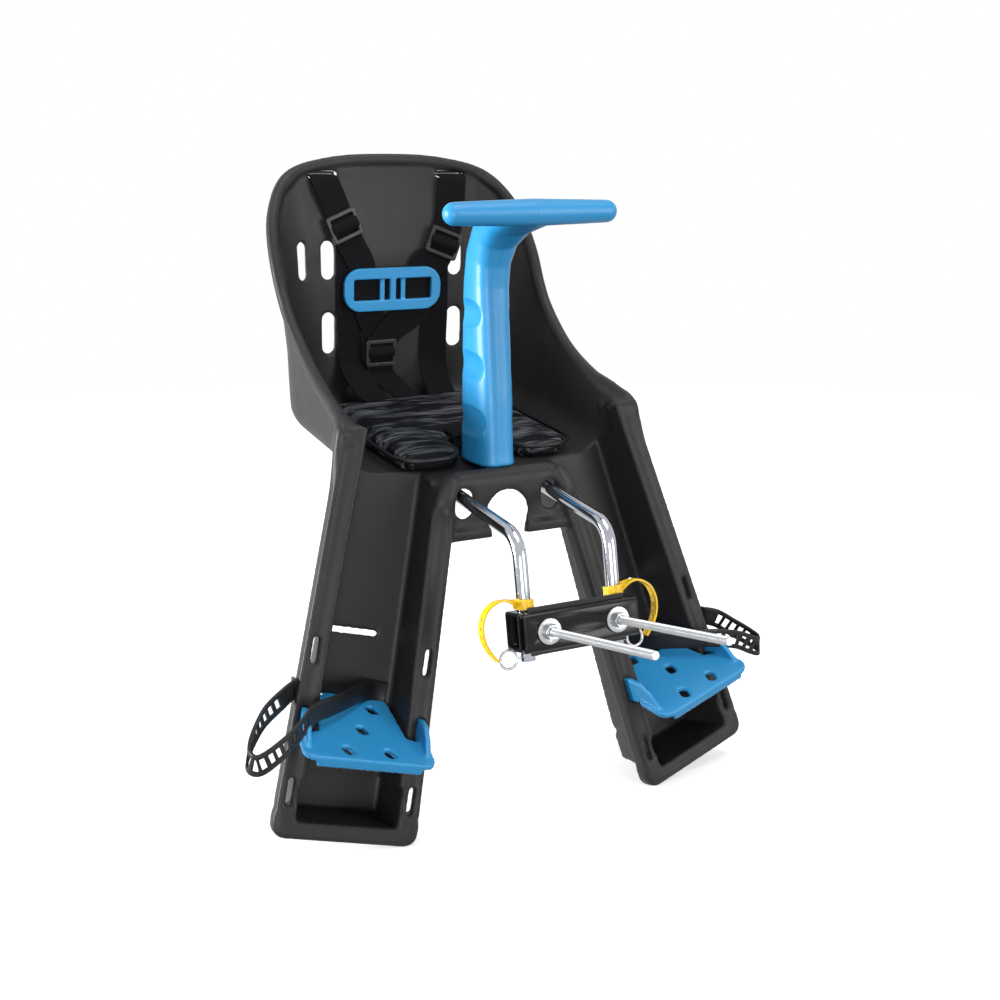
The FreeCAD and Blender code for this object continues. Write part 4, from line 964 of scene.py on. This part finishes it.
def dent(piece, side, height, reach):
    """Cuts a shallow finger dent into a side of the stem, deepest at the stem's back edge."""
    tall, depth = sizes().dent_height, sizes().dent_depth
    radius = (tall ** 2 / 4 + depth ** 2) / (2 * depth)
    start = Vector((side, DENT_BACK - DENT_PROBE, height))
    hit, spot = piece.ray_cast(start, Vector((-side, 0.0, 0.0)))[:2]
    if not hit:
        raise RuntimeError("The handle has no stem at the height of a finger dent")
    only()
    bpy.ops.mesh.primitive_uv_sphere_add(segments=64, ring_count=32, radius=radius,
                                         location=(spot.x + side * (radius - depth), DENT_BACK, height))
    ball = bpy.context.object
    ball.scale.y = 2 * reach / tall
    carve(piece, ball)


class SEAT_OT_footrests(bpy.types.Operator):
    """Rounds the footrests and lays their pierced straps"""
    bl_idname = "bikeseat.footrests"
    bl_label = "Footrests"

    def execute(self, context):
        for name, side in (("left", -1), ("right", 1)):
            piece = moulded("foot_plate_" + name, "footrest_" + name, sizes().foot_voxel, rounds=4)
            deliver(piece, blue_plastic(), "footrest", "footrest_" + name)
            piece = ladder("ladder_strap_" + name, side, LADDER_SIZE[name])
            deliver(piece, black_plastic(), "foot_strap", "foot_strap_" + name)
        return {"FINISHED"}


def ladder(name, side, size):
    """A pierced strap from the trough's back wall over the instep to the leg's outer side."""
    loop = [LADDER_HUB + (Vector(p) - LADDER_HUB) * size for p in LADDER_LOOP]
    route = []
    for spot in LADDER_START + loop + LADDER_END:
        lie = LADDER_LIE if route else LADDER_ROOT_LIE
        turn = LEG_ACROSS * lie[0] + LEG_UP * lie[1] + LEG_OUT * lie[2]
        route.append((on_side(side, leg_spot(*spot)) / 1000, on_side(side, turn).normalized()))
    return webbing(name, route, sizes().ladder_width, sizes().ladder_thick, step=0.0013,
                   columns=LADDER_COLUMNS, cells=LADDER_CELLS)


class SEAT_OT_carrier(bpy.types.Operator):
    """Finishes the carrier bar and its fastening under the pan"""
    bl_idname = "bikeseat.carrier"
    bl_label = "Carrier bar"

    def execute(self, context):
        piece = edged("bent_bar", "carrier_bar", BAR_EDGE)
        deliver(piece, chrome(), "bar_steel", "carrier_bar")
        for node in ("bar_clamp_front", "bar_clamp_rear", "bar_screws"):
            show(node, zinc())
        show("strap_stops", adjuster_plastic())
        return {"FINISHED"}


class SEAT_OT_clamp(bpy.types.Operator):
    """Finishes the head tube clamp, its jaw and its washers and nuts"""
    bl_idname = "bikeseat.clamp"
    bl_label = "Clamp"

    def execute(self, context):
        piece = edged("back_jaw", "clamp_tube", JAW_EDGE)
        deliver(piece, black_paint(), "bracket", "clamp_tube")
        piece = edged("sliding_jaw", "front_jaw", JAW_EDGE)
        deliver(piece, black_paint(), "bracket", "front_jaw", body="jaw")
        piece = edged("jaw_cushion", "jaw_liner", LINER_EDGE)
        deliver(piece, liner_rubber(), "liner", "jaw_liner")
        piece = edged("washers", "clamp_washers", WASHER_EDGE)
        deliver(piece, zinc(), "fasteners", "clamp_washers", body="jaw")
        piece = edged("nuts", "clamp_nuts", NUT_EDGE)
        deliver(piece, zinc(), "fasteners", "clamp_nuts", body="jaw")
        return {"FINISHED"}


class SEAT_OT_bolts(bpy.types.Operator):
    """Cuts the thread on the two clamp bolts"""
    bl_idname = "bikeseat.bolts"
    bl_label = "Clamp bolts"

    def execute(self, context):
        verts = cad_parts["clamp_bolts"].data.vertices
        end = max(v.co.dot(FORWARD) for v in verts)
        across = max(v.co.x for v in verts if v.co.dot(FORWARD) > end - BOLT_TIP) - sizes().thread_outer
        turn = Vector((0, 0, 1)).rotation_difference(FORWARD).to_matrix().to_4x4()
        threads = []
        for x in (-across, across):
            place = Matrix.Translation(Vector((x, 0, 0))) @ turn
            threads += [thread_core(place, end), thread_ridge(place, end)]
        piece = merged("threaded_bolts", "clamp_bolts")
        edit(piece)
        bpy.ops.mesh.bisect(plane_co=FORWARD * (THREAD_START + THREAD_LAP), plane_no=FORWARD, use_fill=True,
                            clear_outer=True)
        bpy.ops.object.mode_set(mode="OBJECT")
        only(piece, *threads)
        bpy.ops.object.join()
        smooth(piece, angle=35.0)
        deliver(piece, zinc(), "fasteners", "clamp_bolts")
        return {"FINISHED"}


def thread_core(place, end):
    """The round core under a bolt's thread."""
    only()
    bpy.ops.mesh.primitive_cylinder_add(vertices=24, radius=sizes().thread_core,
                                        depth=end - THREAD_START - CORE_TIP)
    rod = bpy.context.object
    rod.data.transform(place @ Matrix.Translation((0, 0, (THREAD_START + end) / 2)))
    return rod


def thread_ridge(place, end):
    """The ridge that winds round a bolt's core."""
    pitch, inner = sizes().thread_pitch, sizes().thread_core - RIDGE_SINK
    half = pitch * RIDGE_SHARE
    only()
    bpy.ops.mesh.primitive_circle_add(vertices=3, radius=1.0, fill_type="NOTHING")
    ridge = bpy.context.object
    corners = ((inner, -half), (sizes().thread_outer, 0.0), (inner, half))
    for vert, (radius, height) in zip(ridge.data.vertices, corners):
        vert.co = (radius, 0.0, height)
    turns = int((end - THREAD_START - THREAD_TIP) / pitch)
    modify(ridge, "SCREW", axis="Z", angle=math.tau, screw_offset=pitch, iterations=turns, steps=16,
           render_steps=16, use_merge_vertices=False)
    ridge.data.transform(place @ Matrix.Translation((0, 0, THREAD_START + pitch / 2)))
    return ridge


class SEAT_OT_safety(bpy.types.Operator):
    """Finishes the wire clips and the yellow straps that keep them"""
    bl_idname = "bikeseat.safety"
    bl_label = "Safety clips"

    def execute(self, context):
        for name, side in (("left", -1), ("right", 1)):
            piece = clip_strap("clip_strap_" + name, side)
            deliver(piece, yellow_plastic(), "safety_strap", "safety_strap_" + name)
            piece = merged("wire_clip_" + name, "safety_clip_" + name)
            smooth(piece, angle=50.0)
            deliver(piece, zinc(), "fasteners", "safety_clip_" + name)
        return {"FINISHED"}


def clip_strap(name, side):
    """The strap that keeps a clip: a flat loop round the bar, then a pierced bow down to the clip's ring."""
    loop = []
    for turn in range(-60, 181, 30):
        angle = math.radians(turn)
        loop.append((ARM_X - ARM_LOOP * math.cos(angle), ARM_BACK - ARM_LOOP * math.sin(angle),
                     ARM_LOOP_UP + ARM_LOOP_RISE * angle))
    route = []
    for i, (x, back, up) in enumerate(loop + CLIP_BOW):
        spot = Vector((side * x, 0.0, 0.0)) - FORWARD * back + CLAMP_UP * up
        twist = min(max((i - len(loop) + 2) / 3, 0.0), 1.0)
        across = (CLAMP_UP * (1.0 - twist) - FORWARD * twist).normalized()
        route.append((spot / 1000, across))
    return webbing(name, route, sizes().clip_strap_width, sizes().clip_strap_thick, step=0.001,
                   columns=CLIP_COLUMNS, cells=CLIP_CELLS)


class SEAT_OT_harness(bpy.types.Operator):
    """Weaves the harness webbing along the CAD straps"""
    bl_idname = "bikeseat.harness"
    bl_label = "Harness webbing"

    def execute(self, context):
        adjusters = {"shoulder_strap_left": "adjuster_left", "shoulder_strap_right": "adjuster_right",
                     "lap_strap_left": None, "lap_strap_right": None, "crotch_strap": "adjuster_crotch"}
        width, thick = sizes().strap_width, sizes().strap_thick
        for node, adjuster in adjusters.items():
            lifts = [box_middle(adjuster)] if adjuster else []
            strap = webbing("woven_" + node, cad_route(node), width, thick, lifts=lifts)
            deliver(strap, webbing_cloth(), "webbing", node)
        low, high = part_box("chest_plate")
        along = Vector((high.x - low.x, 0.0, 0.0))
        start = box_middle("chest_plate") + CHEST_LOOP_BEHIND
        route = [(start + along * share, Vector((0.0, 0.0, 1.0))) for share in CHEST_LOOP_SHARES]
        strap = webbing("woven_chest_loop", route, sizes().chest_loop_width, thick)
        deliver(strap, webbing_cloth(), "webbing")
        return {"FINISHED"}


class SEAT_OT_buckles(bpy.types.Operator):
    """Rounds the three-bar adjusters and the chest plate"""
    bl_idname = "bikeseat.buckles"
    bl_label = "Adjusters and chest plate"

    def execute(self, context):
        for name in ("left", "right", "crotch"):
            piece = moulded("three_bar_" + name, "adjuster_" + name, sizes().buckle_voxel, rounds=3)
            deliver(piece, adjuster_plastic(), "adjuster", "adjuster_" + name)
        piece = moulded("chest_bridge", "chest_plate", sizes().buckle_voxel, rounds=4)
        deliver(piece, blue_plastic(), "chest_plate", "chest_plate")
        return {"FINISHED"}


class SEAT_OT_pad(bpy.types.Operator):
    """Swells the pad as sewn cloth and lays its piping"""
    bl_idname = "bikeseat.pad"
    bl_label = "Seat pad"

    def execute(self, context):
        pad = merged("pad_cover", "seat_pad")
        regrid(pad, sizes().pad_voxel)
        modify(pad, "SMOOTH", factor=0.5, iterations=4)
        swell(pad, sizes().pad_swell)
        modify(pad, "SUBSURF", levels=1, render_levels=1)
        only(pad)
        bpy.ops.object.shade_smooth()
        deliver(pad, pad_cloth(), "pad", "seat_pad")
        deliver(piping(), black_plastic(), "pad")
        return {"FINISHED"}


def swell(pad, most):
    """Blows the cover up as cloth, moves no point further than most, and keeps its underside flat."""
    scene = bpy.context.scene
    only(pad)
    bpy.ops.object.modifier_add(type="CLOTH")
    cover = pad.modifiers[-1]
    cover.settings.use_pressure = True
    cover.settings.uniform_pressure_force = SWELL_PRESSURE
    cover.settings.effector_weights.gravity = 0.0
    cover.point_cache.frame_start = 1
    cover.point_cache.frame_end = SWELL_FRAMES
    start = [v.co.copy() for v in pad.data.vertices]
    for moment in range(1, SWELL_FRAMES + 1):
        scene.frame_set(moment)
    posed = pad.evaluated_get(bpy.context.evaluated_depsgraph_get())
    moved = [v.co.copy() for v in posed.data.vertices]
    pad.modifiers.remove(cover)
    scene.frame_set(1)
    low = min(p.dot(PAN_UP) for p in start)
    for vert, a, b in zip(pad.data.vertices, start, moved):
        step = b - a
        if step.length > most:
            step = step * (most / step.length)
        spot = a + step
        spot += PAN_UP * max(low - spot.dot(PAN_UP), 0.0)
        vert.co = spot


def piping():
    """The cord sewn round the pad's upper edge."""
    rope = merged("pad_piping", "seat_pad")
    only(rope)
    bpy.ops.object.mode_set(mode="EDIT")
    bpy.ops.mesh.select_all(action="DESELECT")
    bpy.ops.mesh.select_mode(type="EDGE")
    bm = bmesh.from_edit_mesh(rope.data)
    top = max(v.co.dot(PAN_UP) for v in bm.verts)
    for edge in bm.edges:
        high = all(v.co.dot(PAN_UP) > top - 1e-4 for v in edge.verts)
        edge.select = high and len(edge.link_faces) == 2 and edge.calc_face_angle() > 1.0
    bm.select_flush_mode()
    bmesh.update_edit_mesh(rope.data)
    bpy.ops.mesh.select_all(action="INVERT")
    bpy.ops.mesh.delete(type="EDGE")
    bpy.ops.mesh.select_all(action="SELECT")
    bpy.ops.mesh.delete(type="ONLY_FACE")
    bpy.ops.object.mode_set(mode="OBJECT")
    rope.data.transform(Matrix.Translation(PAN_UP * -PIPING_DROP))
    only(rope)
    bpy.ops.object.convert(target="CURVE")
    rope = bpy.context.object
    rope.data.bevel_depth = sizes().piping
    rope.data.bevel_resolution = 3
    bpy.ops.object.convert(target="MESH")
    rope = bpy.context.object
    bpy.ops.object.shade_smooth()
    return rope


class SEAT_OT_stage(bpy.types.Operator):
    """Sets the floor, the lights and the camera"""
    bl_idname = "bikeseat.stage"
    bl_label = "Stage"

    def execute(self, context):
        context.scene.view_settings.view_transform = "Standard"
        staged = [studio_floor()]
        for name, (place, size, power) in LAMPS.items():
            staged.append(lamp("lamp_" + name, Vector(place), size, power))
        staged.append(photo_camera(context.scene))
        sky(context.scene)
        return {"FINISHED"}


def facing(place, aim):
    """The turn of a lamp or camera that looks from a place at its aim."""
    return (aim - place).to_track_quat("-Z", "Y").to_euler()


def studio_floor():
    """A pale disc that takes the shadow and lights nothing."""
    only()
    bpy.ops.mesh.primitive_circle_add(vertices=96, radius=FLOOR_RADIUS, fill_type="NGON",
                                      location=(0.0, 0.0, CAD_BOX[0][2] - FLOOR_GAP))
    floor = bpy.context.object
    floor.name = "studio_floor"
    floor.data.materials.append(floor_paint())
    floor.visible_diffuse = False
    floor.visible_glossy = False
    return floor


def lamp(name, place, size, power):
    """A square soft lamp."""
    only()
    bpy.ops.object.light_add(type="AREA", location=place)
    made = bpy.context.object
    made.name = name
    made.data.size = size
    made.data.energy = power
    made.data.specular_factor = LAMP_GLOSS
    made.rotation_euler = facing(place, LAMP_AIM)
    return made


def photo_camera(scene):
    """The camera at the photograph's viewing angle."""
    only()
    bpy.ops.object.camera_add(location=CAMERA_PLACE)
    camera = bpy.context.object
    camera.name = "photo_camera"
    camera.rotation_euler = facing(CAMERA_PLACE, CAMERA_AIM)
    camera.data.lens = CAMERA_LENS
    camera.data.sensor_width = 36.0
    camera.data.clip_end = 100.0
    scene.camera = camera
    return camera


def sky(scene):
    """Soft grey light from all round, white where the camera and what is glossy or clear see it."""
    world = bpy.data.worlds.new("studio")
    scene.world = world
    world.use_nodes = True
    t = Tree(world.node_tree)
    light = world.node_tree.nodes["Background"]
    light.inputs["Strength"].default_value = 1.0
    height = t.add("ShaderNodeSeparateXYZ")
    t.join(t.add("ShaderNodeTexCoord").outputs["Generated"], height.inputs[0])
    ramp = t.add("ShaderNodeValToRGB")
    for stop, (place, shade) in zip(ramp.color_ramp.elements, (SKY_LOW, SKY_HIGH)):
        stop.position = place
        stop.color = shade
    t.join(t.spread(height.outputs[2], -1.0, 1.0), ramp.inputs[0])
    t.join(ramp.outputs[0], light.inputs["Color"])
    white = t.add("ShaderNodeBackground")
    white.inputs["Color"].default_value = (1.0, 1.0, 1.0, 1.0)
    ray = t.add("ShaderNodeLightPath")
    seen = t.math("ADD", ray.outputs["Is Camera Ray"], ray.outputs["Is Transmission Ray"])
    seen = t.math("ADD", seen, ray.outputs["Is Glossy Ray"], clamp=True)
    mix = t.add("ShaderNodeMixShader")
    t.join(seen, mix.inputs[0])
    t.join(light.outputs[0], mix.inputs[1])
    t.join(white.outputs[0], mix.inputs[2])
    t.join(mix.outputs[0], world.node_tree.nodes["World Output"].inputs["Surface"])


class SEAT_PT_panel(bpy.types.Panel):
    """Lists the pieces of the seat"""
    bl_idname = "SEAT_PT_panel"
    bl_label = "Child bike seat"
    bl_space_type = "VIEW_3D"
    bl_region_type = "UI"
    bl_category = "Bike seat"

    def draw(self, context):
        for operator in PIECES:
            self.layout.operator(operator.bl_idname)
        for values in (context.scene.seat_sizes, context.scene.seat_colours):
            for key in values.__annotations__:
                self.layout.prop(values, key)


PIECES = (SEAT_OT_shell, SEAT_OT_handle, SEAT_OT_footrests, SEAT_OT_carrier, SEAT_OT_clamp, SEAT_OT_bolts,
          SEAT_OT_safety, SEAT_OT_harness, SEAT_OT_buckles, SEAT_OT_pad, SEAT_OT_stage)
CLASSES = (SeatSizes, SeatColours) + PIECES + (SEAT_PT_panel,)


def register():
    for cls in CLASSES:
        bpy.utils.register_class(cls)
    bpy.types.Scene.seat_sizes = PointerProperty(type=SeatSizes)
    bpy.types.Scene.seat_colours = PointerProperty(type=SeatColours)


def unregister():
    del bpy.types.Scene.seat_colours
    del bpy.types.Scene.seat_sizes
    for cls in reversed(CLASSES):
        bpy.utils.unregister_class(cls)


def main():
    register()
    bpy.ops.bikeseat.shell()
    bpy.ops.bikeseat.handle()
    bpy.ops.bikeseat.footrests()
    bpy.ops.bikeseat.carrier()
    bpy.ops.bikeseat.clamp()
    bpy.ops.bikeseat.bolts()
    bpy.ops.bikeseat.safety()
    bpy.ops.bikeseat.harness()
    bpy.ops.bikeseat.buckles()
    bpy.ops.bikeseat.pad()
    bpy.ops.bikeseat.stage()


if __name__ == "__main__":
    main()
